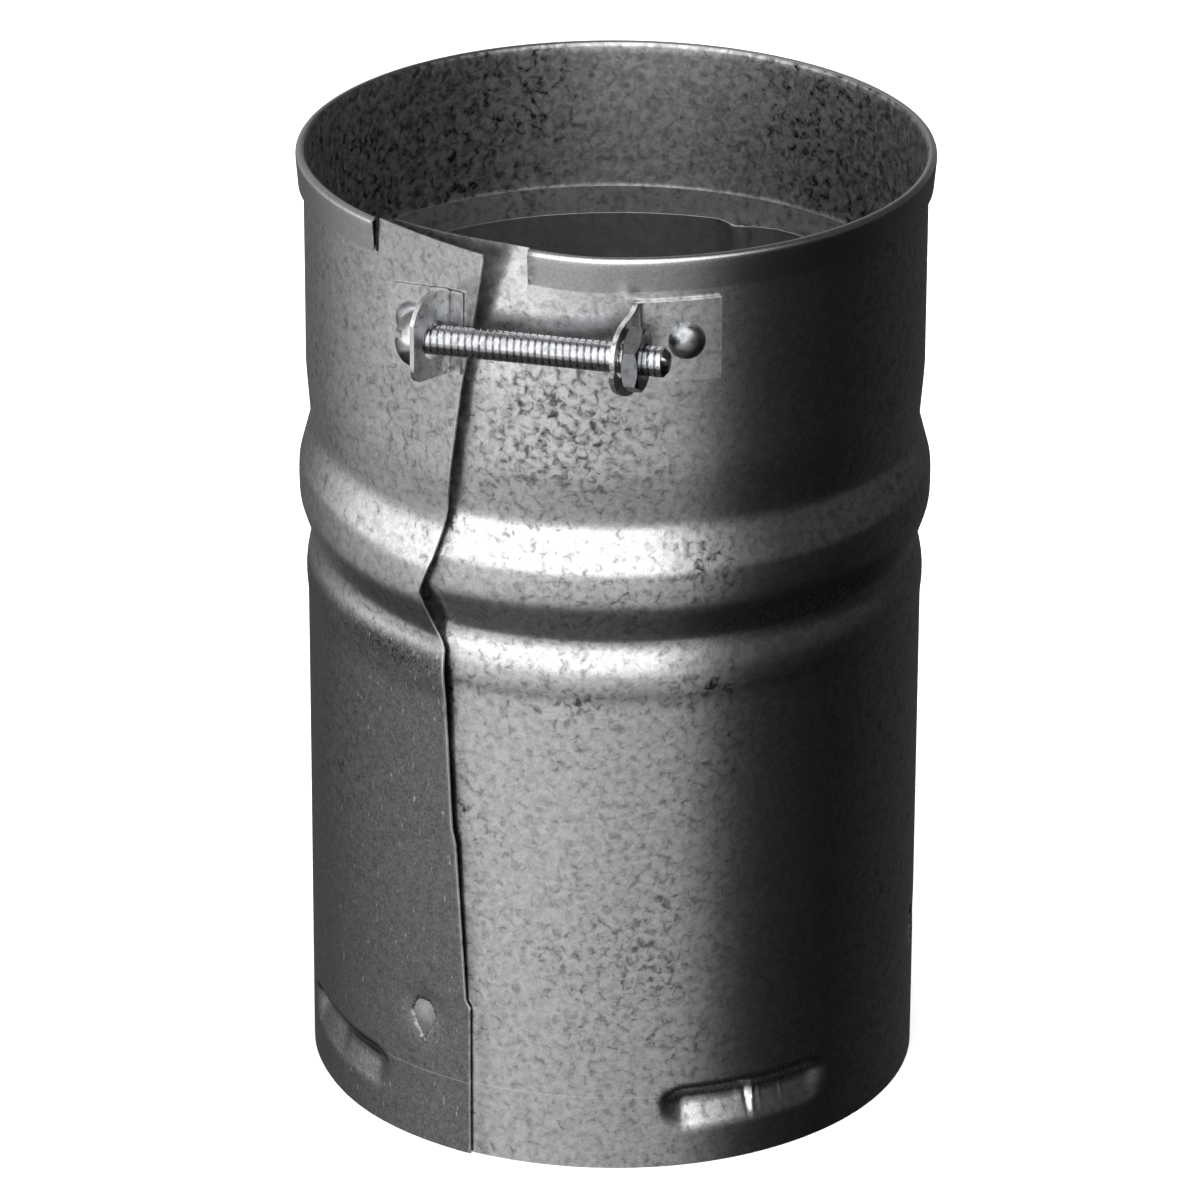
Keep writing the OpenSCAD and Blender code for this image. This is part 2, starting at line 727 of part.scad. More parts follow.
// A blind rivet: dome outside the lug, tail inside the sheet
module rivet(place) {
    seat = lug_seat + lug_t + rivet_seat;
    tail_seat = sheet_t + rivet_seat + bore_r - sqrt(bore_r * bore_r - tail_d * tail_d / 4);
    dome = [for (a = [0:15:90]) [rivet_head_d / 2 * cos(a), seat + rivet_head_h * sin(a)]];
    outline = concat(
        [[0, -tail_seat - tail_h], [tail_d / 2, -tail_seat - tail_h], [tail_d / 2, -tail_seat],
            [rivet_d / 2, -tail_seat], [rivet_d / 2, seat]],
        dome
    );
    color("gainsboro")
        at_rivet(place)
            rotate_extrude($fn = small_fn)
                polygon(outline);
}

module left_rivet() {
    rivet(left_rivet_place());
}

module right_rivet() {
    rivet(right_rivet_place());
}

// Distance along the screw's axis of an ear's middle plane, at a distance out from the shell's axis
function ear_along(root, a, out) =
    let (foot = [root[0], root[1]])
    let (e = [sin(a), -cos(a)])
    foot * axis_t + (out - foot * axis_n) / (e * axis_n) * (e * axis_t);

// Half an ear's thickness, measured along the screw's axis
function half_ear(a) = lug_t / 2 / ([cos(a), sin(a)] * axis_t);

// The head bears on the left ear's outermost part, and the nut on the right ear's root side
head_along = ear_along(left_root, left_ear_a, screw_r + head_r) - half_ear(left_ear_a) - ear_seat;
nut_along = ear_along(right_root, right_ear_a, screw_r - nut_corner_r) + half_ear(right_ear_a) + ear_seat;

// Puts children with their own Z axis along the screw, at a distance along it
module on_screw_axis(along) {
    translate([screw_r * axis_n[0], screw_r * axis_n[1], lug_z])
        rotate([0, 0, screw_a])
            rotate([0, 90, 0])
                translate([0, 0, along])
                    children();
}

module clamp_screw() {
    core_r = screw_d / 2 - point_h / 2;
    outline = concat(
        [for (a = [90:-15:0]) [head_r * cos(a), -head_h * sin(a)]],
        [[screw_d / 2, 0], [screw_d / 2, screw_l - point_h], [core_r, screw_l], [0, screw_l]]
    );
    color("whitesmoke")
        on_screw_axis(head_along)
            difference() {
                rotate_extrude($fn = small_fn)
                    polygon(outline);
                rotate([0, 0, slot_turn_a])
                    translate([-head_r, -slot_w / 2, -head_h - 1])
                        cube([head_d, slot_w, slot_deep + 1]);
            }
}

module clamp_nut() {
    color("darkgray")
        on_screw_axis(nut_along)
            difference() {
                intersection() {
                    cylinder(r = nut_corner_r, h = nut_t, $fn = 6);
                    rotate_extrude($fn = small_fn)
                        polygon([[0, 0], [nut_af / 2, 0], [nut_corner_r, nut_chamfer],
                            [nut_corner_r, nut_t - nut_chamfer], [nut_af / 2, nut_t], [0, nut_t]]);
                }
                translate([0, 0, -1])
                    cylinder(r = screw_d / 2 + thread_fit, h = nut_t + 2, $fn = small_fn);
            }
}

shell();
liner();
upper_spacer();
lower_spacer();
left_lug();
right_lug();
left_rivet();
right_rivet();
clamp_screw();
clamp_nut();
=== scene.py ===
# %% [markdown]
# # A gas vent adapter, dressed around its CAD frame
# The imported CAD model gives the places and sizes. This script builds the finer sheet metal, thread
# and finishes around it. Lengths are in millimetres until a mesh is made, and angles go round +Z from
# the front (-Y), anticlockwise seen from above, as in the part's source.

# %% The frame
import math

import bpy
import mathutils
import numpy as np
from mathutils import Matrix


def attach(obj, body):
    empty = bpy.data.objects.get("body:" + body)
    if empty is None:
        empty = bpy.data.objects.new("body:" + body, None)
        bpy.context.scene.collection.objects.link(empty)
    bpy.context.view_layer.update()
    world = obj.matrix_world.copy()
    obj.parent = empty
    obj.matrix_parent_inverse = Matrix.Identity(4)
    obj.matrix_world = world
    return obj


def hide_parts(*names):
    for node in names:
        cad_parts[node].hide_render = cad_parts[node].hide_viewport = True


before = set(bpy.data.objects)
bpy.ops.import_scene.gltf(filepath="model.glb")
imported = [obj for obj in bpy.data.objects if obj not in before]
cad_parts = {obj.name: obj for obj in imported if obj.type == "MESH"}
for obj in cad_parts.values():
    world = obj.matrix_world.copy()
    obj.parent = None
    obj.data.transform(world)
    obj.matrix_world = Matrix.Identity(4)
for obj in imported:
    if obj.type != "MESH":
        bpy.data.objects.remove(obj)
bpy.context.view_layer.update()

MM = 0.001
print("CAD nodes:", sorted(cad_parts))

# %% [markdown]
# ## Tools for surfaces
# Every piece is a function of two parameters on a grid, worked out as whole arrays. Sheet metal is
# first made as the middle surface of the sheet and then given its thickness, as a real sheet has one
# thickness everywhere however it's bent. Solidify could do that too, but making both sides here also
# gives sharp cut edges, because the edges can be marked on the finished mesh.


# %% Curves
def ease(x):
    """Goes from 0 to 1 as x does, level at both ends: 3 x squared less 2 x cubed."""
    x = np.clip(x, 0.0, 1.0)
    return x * x * (3 - 2 * x)


def hump(x, half):
    """One at x = 0, nothing at x = half and beyond: half of one plus the cosine."""
    return np.where(np.abs(x) < half, 0.5 + 0.5 * np.cos(np.pi * x / half), 0.0)


def smooth_through(x, knots):
    """Cubic curve through the knots; its slope at a knot is that of the line between the neighbours."""
    xs, ys = np.asarray(knots, float).T
    slope = np.zeros(len(xs))
    slope[1:-1] = (ys[2:] - ys[:-2]) / (xs[2:] - xs[:-2])
    i = np.clip(np.searchsorted(xs, x, side="right") - 1, 0, len(xs) - 2)
    h = xs[i + 1] - xs[i]
    u = np.clip((x - xs[i]) / h, 0.0, 1.0)
    return (
        (2 * u**3 - 3 * u**2 + 1) * ys[i]
        + (u**3 - 2 * u**2 + u) * h * slope[i]
        + (3 * u**2 - 2 * u**3) * ys[i + 1]
        + (u**3 - u**2) * h * slope[i + 1]
    )


def around(r, a, z):
    """The point at radius r, angle a in degrees and height z: (r sin a, -r cos a, z)."""
    r, a, z = np.broadcast_arrays(r, np.radians(a), z)
    return np.stack([r * np.sin(a), -r * np.cos(a), z], axis=-1)


def steps(*stretches):
    """Numbers from the first to the last of (from, to, about this far apart), without doubles."""
    parts = [np.linspace(p, q, max(2, round((q - p) / s) + 1)) for p, q, s in stretches]
    return np.unique(np.round(np.concatenate(parts), 6))


# %% Grids and thickness
def grid_quads(rows, cols, ring=False):
    """Corner numbers of the four-sided faces of a grid, as (rows - 1, cols - 1 or cols, 4)."""
    i, j = np.mgrid[0 : rows - 1, 0 : cols if ring else cols - 1]
    k = (j + 1) % cols
    return np.stack([i * cols + j, i * cols + k, (i + 1) * cols + k, (i + 1) * cols + j], axis=-1)


def weld(points, quads, apart=1e-3):
    """Joins points closer than apart, and turns a quad that loses a corner into a triangle."""
    _, first, new = np.unique(np.round(points / apart), axis=0, return_index=True, return_inverse=True)
    quads = new.reshape(-1)[quads.reshape(-1, 4)]
    same = quads == np.roll(quads, -1, axis=1)
    lost = same.sum(axis=1)
    tris = quads[lost == 1][~same[lost == 1]].reshape(-1, 3)
    return points[first], [quads[lost == 0], tris]


def thicken(points, faces, t):
    """Both sides of a sheet, half of t along the middle surface's normals, and a rim on its edges.
    A normal is the sum of the crossed diagonals of the faces round a point."""
    n = len(points)
    normals = np.zeros_like(points)
    for f in faces:
        a, b, c, d = (f[:, k] for k in (0, 1, 2, f.shape[1] - 1))
        across = np.cross(points[c] - points[a], points[d] - points[b])
        for k in range(f.shape[1]):
            np.add.at(normals, f[:, k], across)
    normals /= np.maximum(np.linalg.norm(normals, axis=1, keepdims=True), 1e-12)
    edges = np.concatenate([np.stack([f, np.roll(f, -1, axis=1)], -1).reshape(-1, 2) for f in faces])
    open_edges = edges[~np.isin(edges @ [n, 1], edges @ [1, n])]
    p, q = open_edges.T
    rim = np.stack([q, p, p + n, q + n], axis=1)
    both = np.concatenate([points + normals * t / 2, points - normals * t / 2])
    return both, [*faces, *(f[:, ::-1] + n for f in faces), rim]


def piece(name, points, faces, finish, sharp=38):
    """A mesh object from points in millimetres. Edges that turn more than sharp degrees stay sharp."""
    mesh = bpy.data.meshes.new(name)
    mesh.from_pydata((points * MM).tolist(), [], [f for part in faces for f in part.tolist()])
    mesh.polygons.foreach_set("use_smooth", np.ones(len(mesh.polygons), bool))
    mesh.set_sharp_from_angle(angle=math.radians(sharp))
    mesh.materials.append(finish)
    made = bpy.data.objects.new(name, mesh)
    bpy.context.scene.collection.objects.link(made)
    print(name, len(points), "points,", sum(len(f) * (f.shape[1] - 2) for f in faces), "triangles")
    return made


def turned_piece(name, outline, place, finish, columns=64, sharp=38):
    """A closed outline of (radius, height) turned about place's axis. Radius 0 closes to a point."""
    outline = np.asarray(outline, float)
    a = np.linspace(0, 2 * np.pi, columns, endpoint=False)
    r, h = outline[:, :1], outline[:, 1:]
    local = np.stack([r * np.cos(a), r * np.sin(a), h + 0 * a], axis=-1)
    points, faces = weld(place(local.reshape(-1, 3)), grid_quads(len(outline), columns, ring=True))
    return piece(name, points, faces, finish, sharp)


# %% [markdown]
# ## Finishes
# All of it is metal: hot-dip galvanised sheet for the shell, galvanised strip for the rings, mill
# aluminium for the liner, zinc plating on the lugs, screw and nut, and aluminium for the rivets. Pictures
# of real sheet could be laid over the meshes, but they would bring their own lights and shadows along.
# Here each finish is one metallic shader whose grey, roughness and bump come from noise at the real size
# of the marks, so that noise looks right from every side. On the shell, values on the mesh also add painted
# shade beside the lap and inside, and a painted highlight on the loose end's cut edge.

# %% Shader tools
def linear(code):
    """An sRGB hex colour as linear RGBA: a channel c becomes ((c + 0.055) / 1.055) to the 2.4."""
    c = np.array([int(code[i : i + 2], 16) for i in (1, 3, 5)]) / 255
    return (*np.where(c <= 0.04045, c / 12.92, ((c + 0.055) / 1.055) ** 2.4), 1.0)


def add(tree, kind, inputs=None, **settings):
    """One node with its settings. An input that is a socket is linked, and any other is a value."""
    made = tree.nodes.new(kind)
    for name, value in settings.items():
        setattr(made, name, value)
    for name, value in (inputs or {}).items():
        if isinstance(value, bpy.types.NodeSocket):
            tree.links.new(value, made.inputs[name])
        else:
            made.inputs[name].default_value = value
    return made


def per_mm(size):
    """Noise scale for marks of this many millimetres, as Object coordinates are in metres."""
    return 1000.0 / size


# %% Blots, clouds and scratches
GRAIN = 0.5
SCRATCH = 0.7
SCRIBED_Z, SCRIBED_HALF = 14.6, 0.12


def blots_and_clouds(tree, where, blot, crowd, thick=0.0):
    """Two values from the same bent noise, with marks blot mm across. Raised a little in places of about
    crowd mm, and by thick, it makes a blot where it passes a limit. As it is, it makes the clouds."""
    bent = add(tree, "ShaderNodeTexNoise", {
        "Vector": where, "Scale": per_mm(blot), "Detail": 3.5, "Distortion": 0.6}).outputs[0]
    crowds = add(tree, "ShaderNodeTexNoise", {
        "Vector": where, "Scale": per_mm(crowd), "Detail": 3.0}).outputs[0]
    raised = add(tree, "ShaderNodeMapRange", {
        "Value": crowds, "From Min": 0.42, "From Max": 0.72, "To Min": -0.04, "To Max": 0.07}).outputs[0]
    raised = add(tree, "ShaderNodeMath", {0: raised, 1: thick}, operation="ADD").outputs[0]
    total = add(tree, "ShaderNodeMath", {0: bent, 1: raised}, operation="ADD").outputs[0]
    blots = add(tree, "ShaderNodeMapRange", {
        "Value": total, "From Min": 0.52, "From Max": 0.84}, interpolation_type="SMOOTHSTEP").outputs[0]
    clouds = add(tree, "ShaderNodeMapRange", {
        "Value": bent, "From Min": 0.36, "From Max": 0.64, "To Min": -0.14, "To Max": 0.16}).outputs[0]
    return blots, clouds


def scratches(tree, where):
    """From 0 to -0.42, where noise drawn out along the pipe and a little aslant passes a limit."""
    long_way = add(tree, "ShaderNodeMapping", {
        "Vector": where, "Rotation": (0.0, 0.4, 0.0), "Scale": (1, 1, 0.3)}).outputs[0]
    lines = add(tree, "ShaderNodeTexNoise", {
        "Vector": long_way, "Scale": per_mm(SCRATCH), "Detail": 1.0}).outputs[0]
    return add(tree, "ShaderNodeMapRange", {
        "Value": lines, "From Min": 0.70, "From Max": 0.77, "To Max": -0.42}).outputs[0]


def scribed_line(tree, where):
    """One on the level line that is scribed round the sheet, and nothing beside it."""
    height = add(tree, "ShaderNodeSeparateXYZ", {0: where}).outputs[2]
    return add(tree, "ShaderNodeMath", {
        0: height, 1: SCRIBED_Z * MM, 2: SCRIBED_HALF * MM}, operation="COMPARE").outputs[0]


# %% A metal
def zoned_tone(tree, where, tone, clouds, dull_and_painted_light, thick, inside):
    """Tone and clouds with the shell's zones. Dull metal is darker by 0.53 and scratched, and so is the
    painted shade in the same value; below zero that value is a painted highlight, lighter. The scribed line
    is lighter by 0.2, and clouds are deeper where blots are thick and on the inside."""
    tone = add(tree, "ShaderNodeMath", {
        0: dull_and_painted_light, 1: scratches(tree, where), 2: tone}, operation="MULTIPLY_ADD").outputs[0]
    tone = add(tree, "ShaderNodeMath", {0: dull_and_painted_light, 1: 0.53, 2: tone}, operation="MULTIPLY_ADD").outputs[0]
    tone = add(tree, "ShaderNodeMath", {
        0: scribed_line(tree, where), 1: -0.2, 2: tone}, operation="MULTIPLY_ADD").outputs[0]
    deeper = add(tree, "ShaderNodeMath", {0: thick, 1: 5.0, 2: 1.0}, operation="MULTIPLY_ADD").outputs[0]
    deeper = add(tree, "ShaderNodeMath", {
        0: inside, 1: 0.8, 2: deeper}, operation="MULTIPLY_ADD").outputs[0]
    clouds = add(tree, "ShaderNodeMath", {0: clouds, 1: deeper}, operation="MULTIPLY").outputs[0]
    return tone, clouds


def metal(name, light, dark, rough, blot, crowd, depth, strength, zones=False):
    """A metal whose grey goes from light to dark with its tone, which is fine grain and clouds, and
    strength times the blots. Blots are also rougher, and lie lower by about depth mm. With zones, values
    painted on the mesh say where blots are thick, where it is dull and where shade and a highlight are
    painted, and which side is the inside."""
    finish = bpy.data.materials.new(name)
    finish.use_nodes = True
    tree = finish.node_tree
    shader = tree.nodes["Principled BSDF"]
    where = add(tree, "ShaderNodeTexCoord").outputs["Object"]
    thick, dull_and_painted_light, inside = 0.0, 0.0, 0.0
    if zones:
        thick, dull_and_painted_light, inside = (add(tree, "ShaderNodeAttribute", attribute_name=zone).outputs["Fac"]
                               for zone in ("speckle", "dull_and_painted_light", "inside"))
    blots, clouds = blots_and_clouds(tree, where, blot, crowd, thick)
    grain = add(tree, "ShaderNodeTexNoise", {
        "Vector": where, "Scale": per_mm(GRAIN), "Detail": 2.0}).outputs[0]
    tone = add(tree, "ShaderNodeMapRange", {
        "Value": grain, "From Min": 0.3, "From Max": 0.7, "To Min": 0.13, "To Max": 0.29}).outputs[0]
    roughness = add(tree, "ShaderNodeMath", {
        0: blots, 1: 0.12, 2: rough}, operation="MULTIPLY_ADD").outputs[0]
    if zones:
        tone, clouds = zoned_tone(tree, where, tone, clouds, dull_and_painted_light, thick, inside)
        roughness = add(tree, "ShaderNodeMath", {
            0: inside, 1: 0.18, 2: roughness}, operation="MULTIPLY_ADD").outputs[0]
    tone = add(tree, "ShaderNodeMath", {0: clouds, 1: tone}, operation="ADD").outputs[0]
    tone = add(tree, "ShaderNodeMath", {
        0: blots, 1: strength, 2: tone}, operation="MULTIPLY_ADD").outputs[0]
    colour = add(tree, "ShaderNodeMix", {
        0: tone, 6: linear(light), 7: linear(dark)}, data_type="RGBA", clamp_factor=True).outputs[2]
    height = add(tree, "ShaderNodeMath", {0: blots, 1: -0.8, 2: grain}, operation="MULTIPLY_ADD").outputs[0]
    bump = add(tree, "ShaderNodeBump", {"Height": height, "Distance": depth * MM, "Strength": 1.0})
    shader.inputs["Metallic"].default_value = 1.0
    tree.links.new(colour, shader.inputs["Base Color"])
    tree.links.new(roughness, shader.inputs["Roughness"])
    tree.links.new(bump.outputs[0], shader.inputs["Normal"])
    print(name, "has", len(tree.nodes), "nodes")
    return finish


# %% The finishes
# Sheet dipped in molten zinc: bright and fairly sharp, with dark blots where the zinc froze dull
galvanised = metal("hot-dip galvanised steel", "#ececed", "#1a1c1e", rough=0.26, blot=1.5, crowd=26,
                   depth=0.010, strength=0.44, zones=True)
# Narrow strip of the same kind, out of the light: an even, matt grey with soft clouds
strip_steel = metal("galvanised steel strip", "#d4d5d7", "#2a2c2e", rough=0.44, blot=1.6, crowd=18,
                    depth=0.008, strength=0.45)
# Aluminium as the rolling mill leaves it: smooth, a little milky, and nearly without marks
mill_aluminium = metal("mill-finish aluminium", "#e4e5e6", "#8a8c8f", rough=0.30, blot=3.0, crowd=30,
                       depth=0.002, strength=0.25)
# Thin zinc plating on pressed steel: light and satin, with faint stains
plated_lug = metal("zinc-plated mild steel", "#f0f1f2", "#4a4c4f", rough=0.36, blot=1.4, crowd=9,
                   depth=0.008, strength=0.45)
# Aluminium squeezed by the rivet tool: greyer than sheet, with one soft highlight
rivet_aluminium = metal("set aluminium rivet", "#c4c6c9", "#4f5154", rough=0.28, blot=1.2, crowd=6,
                        depth=0.008, strength=0.5)
# Bright plating on a rolled thread: nearly a mirror, so each turn has its own light and dark
plated_screw = metal("bright zinc-plated steel", "#cfd0d2", "#77797c", rough=0.18, blot=1.2, crowd=8,
                     depth=0.001, strength=0.3)
# The same plating on cut flats: darker, and a different grey on each flat
plated_nut = metal("zinc-plated steel nut", "#a9abae", "#4d4f52", rough=0.22, blot=1.2, crowd=8,
                   depth=0.003, strength=0.4)

# %% [markdown]
# ## The outer shell
# On the real part the shell is one sheet: rolled round, beaded below the collar, folded over at the
# rim, and lapped over itself at the front left, where the loose end stands off the inner end. It could
# be a tube with its bead and grooves modelled on, but then the lap would be two walls that end nowhere.
# So it is one grid of angle by height that starts at the hidden inner end, goes once round and runs on
# over itself to the free edge. The folded rim is more rows of the same grid, left out where the sheet
# isn't hemmed.

# %% Sizes of the shell, as in the part's source
SHELL_R, SHELL_H, SHEET = 57.15, 180.4, 0.45
MID_R = SHELL_R - SHEET / 2
PRESS_Z = SHELL_H - 26.4
ROLL, HEM_H = 0.7, 6.4
HEM_LOW = SHELL_H - HEM_H
ROLL_Z = SHELL_H - SHEET / 2 - ROLL
HEM_FROM, HEM_TO, SNIP_TO = -16.0, 311.6, 312.4
INNER_EDGE, ROOT = -45.2, 270.0
# Bead, groove and shoulder: (height, shift of the wall)
BEAD = [(90.9, 0), (93.3, 0.01), (94.5, 0.06), (96.3, 0.22), (97.7, 0.28), (98.6, 0.27),
        (99.5, 0.22), (100.3, 0.13), (101.1, 0.01), (101.9, -0.13), (102.7, -0.29), (103.5, -0.46),
        (104.3, -0.61), (105.1, -0.7), (105.9, -0.73), (106.7, -0.62), (107.7, -0.36),
        (111.9, 1.02), (113.1, 1.3), (114.3, 1.42), (116.9, 1.48), (119.1, 1.42), (120.1, 1.33),
        (121, 1.13), (127.3, -0.54), (128.2, -0.69), (129.3, -0.74), (139.3, 0), (142.9, 0)]
# Free edge of the loose end: (height, angle)
FREE_EDGE = [(0, -27.0), (30.4, -27.0), (31.0, -27.8), (63.6, -29.7), (64.4, -30.3), (101.4, -31.9),
             (104.8, -33.6), (112.5, -35.9), (119.5, -33.2), (129, -31), (154.4, -27), (169.4, -24.1),
             (180.4, -22.3)]
LOCKS = (26.5, 116.5, 206.5, 296.5)
LOCK_Z, LOCK_DEPTH, LOCK_HALF, LOCK_END = 12.7, 2.2, 18.3, 5.5
# A lock groove's section: (height from its deepest line, share of its depth)
LOCK_SECTION = [(-5.6, 0), (-0.5, 1), (0.5, 1), (3.8, 0)]
# Creases across a lock groove: (angle from its middle, height, half its width in degrees)
CREASES = [(-0.9, 0.16, 0.7), (0.9, 0.24, 0.6), (2.6, 0.10, 0.5), (7.4, 0.12, 0.5)]
DIMPLES = (82.5, 202.5, 322.5)
DIMPLE_Z, DIMPLE_HALF_W, DIMPLE_UP, DIMPLE_DOWN = 26.8, 2.5, 3.0, 4.4
DISH_DEPTH, DISH_R = 0.55, 7.5
# How far the free edge stands off: (height, distance)
EDGE_LIFT = [(0, 0.3), (30.5, 0.3), (129, 1.3), (SHELL_H, 3.7)]
# The loose end: its step over the inner end, where it starts to lift, and how far its root is drawn in
CLIMB, LIFT_FROM, ROOT_DRAW, ROOT_A = SHEET + 0.08, -50, 0.8, -46
# The inner end: how far its rim is pressed in, and at which angle
PRESSED_IN, PRESSED_A = 2.8, -24


# %% How far the wall is pushed
def wall_shift(z):
    """The bead's profile, smooth through its knots."""
    return smooth_through(z, BEAD)


def bead_sag(t):
    """How far the bead sits lower near the loose end, which isn't drawn up level with the rest. The
    inner end's hidden part follows it, so that one sheet lies in the other."""
    hidden = np.where(t < 0, 2.3 * ease((-35.5 - t) / 8), 0.0)
    return np.where(t > ROOT, 2.4 * ease((t - 285) / 40), hidden)


def edge_at(z):
    """Angle of the free edge: straight between its knots, averaged over a little height."""
    z = np.asarray(z, float)
    return sum(np.interp(z + d, *np.transpose(FREE_EDGE)) for d in (-0.4, 0.0, 0.4)) / 3


def rim_share(z):
    """0 at the foot of the collar's bent part, and 1 at the rim."""
    return np.clip((z - PRESS_Z) / (SHELL_H - PRESS_Z), 0, None)


def loose_push(a, z):
    """The loose end climbs over the inner end, is drawn in at its root, and lifts to its free edge
    with the square of the way there."""
    over = np.clip((a - LIFT_FROM) / (edge_at(z) - LIFT_FROM), 0, None)
    lift = np.interp(z, *np.transpose(EDGE_LIFT))
    climb = CLIMB * ease((a + 75) / 28)
    return climb + lift * over**2 - ROOT_DRAW * rim_share(z) * hump(a - ROOT_A, 40)


def lock_push(t, z):
    """A pressed groove: in from its lower edge to its deepest line and out again above. Its ends are
    soft, it is lower near them, and past its middle it is shallower, with creases where it begins."""
    shift = np.zeros(np.broadcast(t, z).shape)
    for middle in LOCKS:
        d = t - middle
        end = ease((LOCK_HALF - np.abs(d)) / LOCK_END)
        above = (z - LOCK_Z) * (1.35 - 0.35 * end)
        deep = np.interp(above, *np.transpose(LOCK_SECTION))
        deep = np.where(above > 0, deep * deep * (3 - 2 * deep), deep)
        creases = sum(high * hump(d - at, half) for at, high, half in CREASES)
        shallower = 1 - 0.34 * ease((d + 0.2) / 1.4)
        shift = shift - LOCK_DEPTH * deep * end * shallower + creases * deep * (end > 0)
    return shift


def dimple_push(t, z):
    """A punch mark: its floor bulges a little inside an edge that is round above and pointed below, and
    a wide shallow dish lies round it."""
    shift = np.zeros(np.broadcast(t, z).shape)
    for middle in DIMPLES:
        x, y = np.radians(t - middle) * SHELL_R, z - DIMPLE_Z
        d = np.hypot(x / DIMPLE_HALF_W, y.clip(0) / DIMPLE_UP) + ((-y).clip(0) / DIMPLE_DOWN) ** 1.7
        inside = ease((1.06 - d) / 0.14)
        dish = DISH_DEPTH * hump(np.hypot(x, y), DISH_R)
        shift = shift - inside * (0.55 + 0.75 * np.clip(d, 0, 1) ** 2) - dish
    return shift


def shell_radius(t, z):
    """Radius of the sheet's middle at total angle t: the round wall with its bead, the pushes of its two
    ends, its pressed marks, and waves of a few hundredths of a millimetre, as rolled sheet has."""
    half = np.where(t < PRESSED_A, 55, -PRESSED_A)
    inner = -PRESSED_IN * rim_share(z) ** 1.15 * hump(t - PRESSED_A, half) * (t < 0)
    beside = t - edge_at(z)
    joggle = -0.28 * hump(beside - 0.8, 3.2) * (t < 0) * ease((z - 31) / 8) * ease((158 - z) / 20)
    loose = np.where(t > ROOT, loose_push(t - 360, z), 0.0)
    low = z + 0.9 * ease((t - 285) / 30) * (t > ROOT)
    marks = lock_push(t, low) + dimple_push(t, low)
    a = np.radians(t)
    waves = 0.02 * np.sin(3 * a + z / 31) * np.cos(z / 23 + 2 * a) + 0.02 * np.sin(7 * a - z / 15)
    return MID_R + wall_shift(z + bead_sag(t)) + inner + joggle + loose + marks + waves


# %% The shell's grid
# Finer columns and rows lie where the sheet has a lap, a fold, a groove or a dimple
columns = np.concatenate([
    steps((INNER_EDGE, -17, 2.0), (-17, HEM_FROM, 0.5)),
    steps((HEM_FROM, 7, 2.1), (7, 14, 0.6), (13, 25.5, 1.0), (25.5, 30, 0.35), (30, 33, 1.0),
          (33, 35, 0.35), (35, 39, 1.0), (39, 46, 0.6), (46, 79, 2.4), (79, 86, 0.6),
          (86, 97, 2.2), (97, 103, 1.0), (103, 130, 2.7), (130, 136, 1.0), (136, 187, 2.6),
          (187, 193, 1.0), (193, 199, 2.0), (199, 206, 0.8), (206, 220, 2.4), (220, 226, 1.0),
          (226, 277, 2.6), (277, 282, 1.0), (282, 308, 1.6), (308, HEM_TO, 0.7)),
    steps((HEM_TO, SNIP_TO, 0.8), (SNIP_TO, 316, 0.7), (316, 329.5, 0.42), (329.5, 333.2, 0.6),
          (333.2, 333.5, 0.3)),
])
heights = steps((0, 5.5, 1.8), (5.5, 19, 0.65), (19, 22, 1.0), (22, 31.5, 0.5), (31.5, 88, 3.1),
                (88, 95, 1.4), (95, 107, 0.6), (107, 119, 0.9), (119, 121, 0.5), (121, 127, 1.5),
                (127, 130, 0.5), (130, 132, 1.0), (132, 172, 2.7), (172, HEM_LOW, 1.0),
                (HEM_LOW, ROLL_Z, 1.4))
turn = np.radians(np.arange(150, -1, -15))
hem_r = np.concatenate([ROLL + ROLL * np.cos(turn), np.linspace(1.38, 0.95, 5)])
hem_z = np.concatenate([ROLL_Z + ROLL * np.sin(turn), np.linspace(ROLL_Z - 0.5, HEM_LOW, 5)])
bare = (columns < HEM_FROM) | (columns > HEM_TO)
bare[np.searchsorted(columns, HEM_FROM)] = True
bare[np.searchsorted(columns, HEM_TO, side="right") - 1] = True


def shell_points():
    """Angle by height, with the last columns spread out to the free edge, and the hem's rows on top. Its
    lower edge sways by a tenth of a millimetre. In bare columns the first of those rows is the raw edge,
    and the others lie on it."""
    z = heights[:, None]
    share = np.clip((columns - SNIP_TO) / (columns[-1] - SNIP_TO), 0, 1)
    spread = share * (360 + edge_at(z) - columns[-1])
    t = columns + spread
    wall = around(shell_radius(t, z), t, z + 0 * t)
    top_a = np.radians(t[-1])
    sway = 0.12 * np.sin(5 * top_a) + 0.07 * np.sin(17 * top_a)
    down = np.clip((ROLL_Z - hem_z) / (ROLL_Z - HEM_LOW), 0, 1)[:, None]
    top_r = shell_radius(t[-1], np.full_like(t[-1], ROLL_Z))
    hem = around(top_r + hem_r[:, None], t[-1], hem_z[:, None] + down * sway)
    raw_z = SHELL_H - 0.05
    raw = around(shell_radius(t[-1], np.full_like(t[-1], raw_z)), t[-1], raw_z)
    hem = np.where(bare[:, None], raw, hem)
    return np.concatenate([wall, hem])


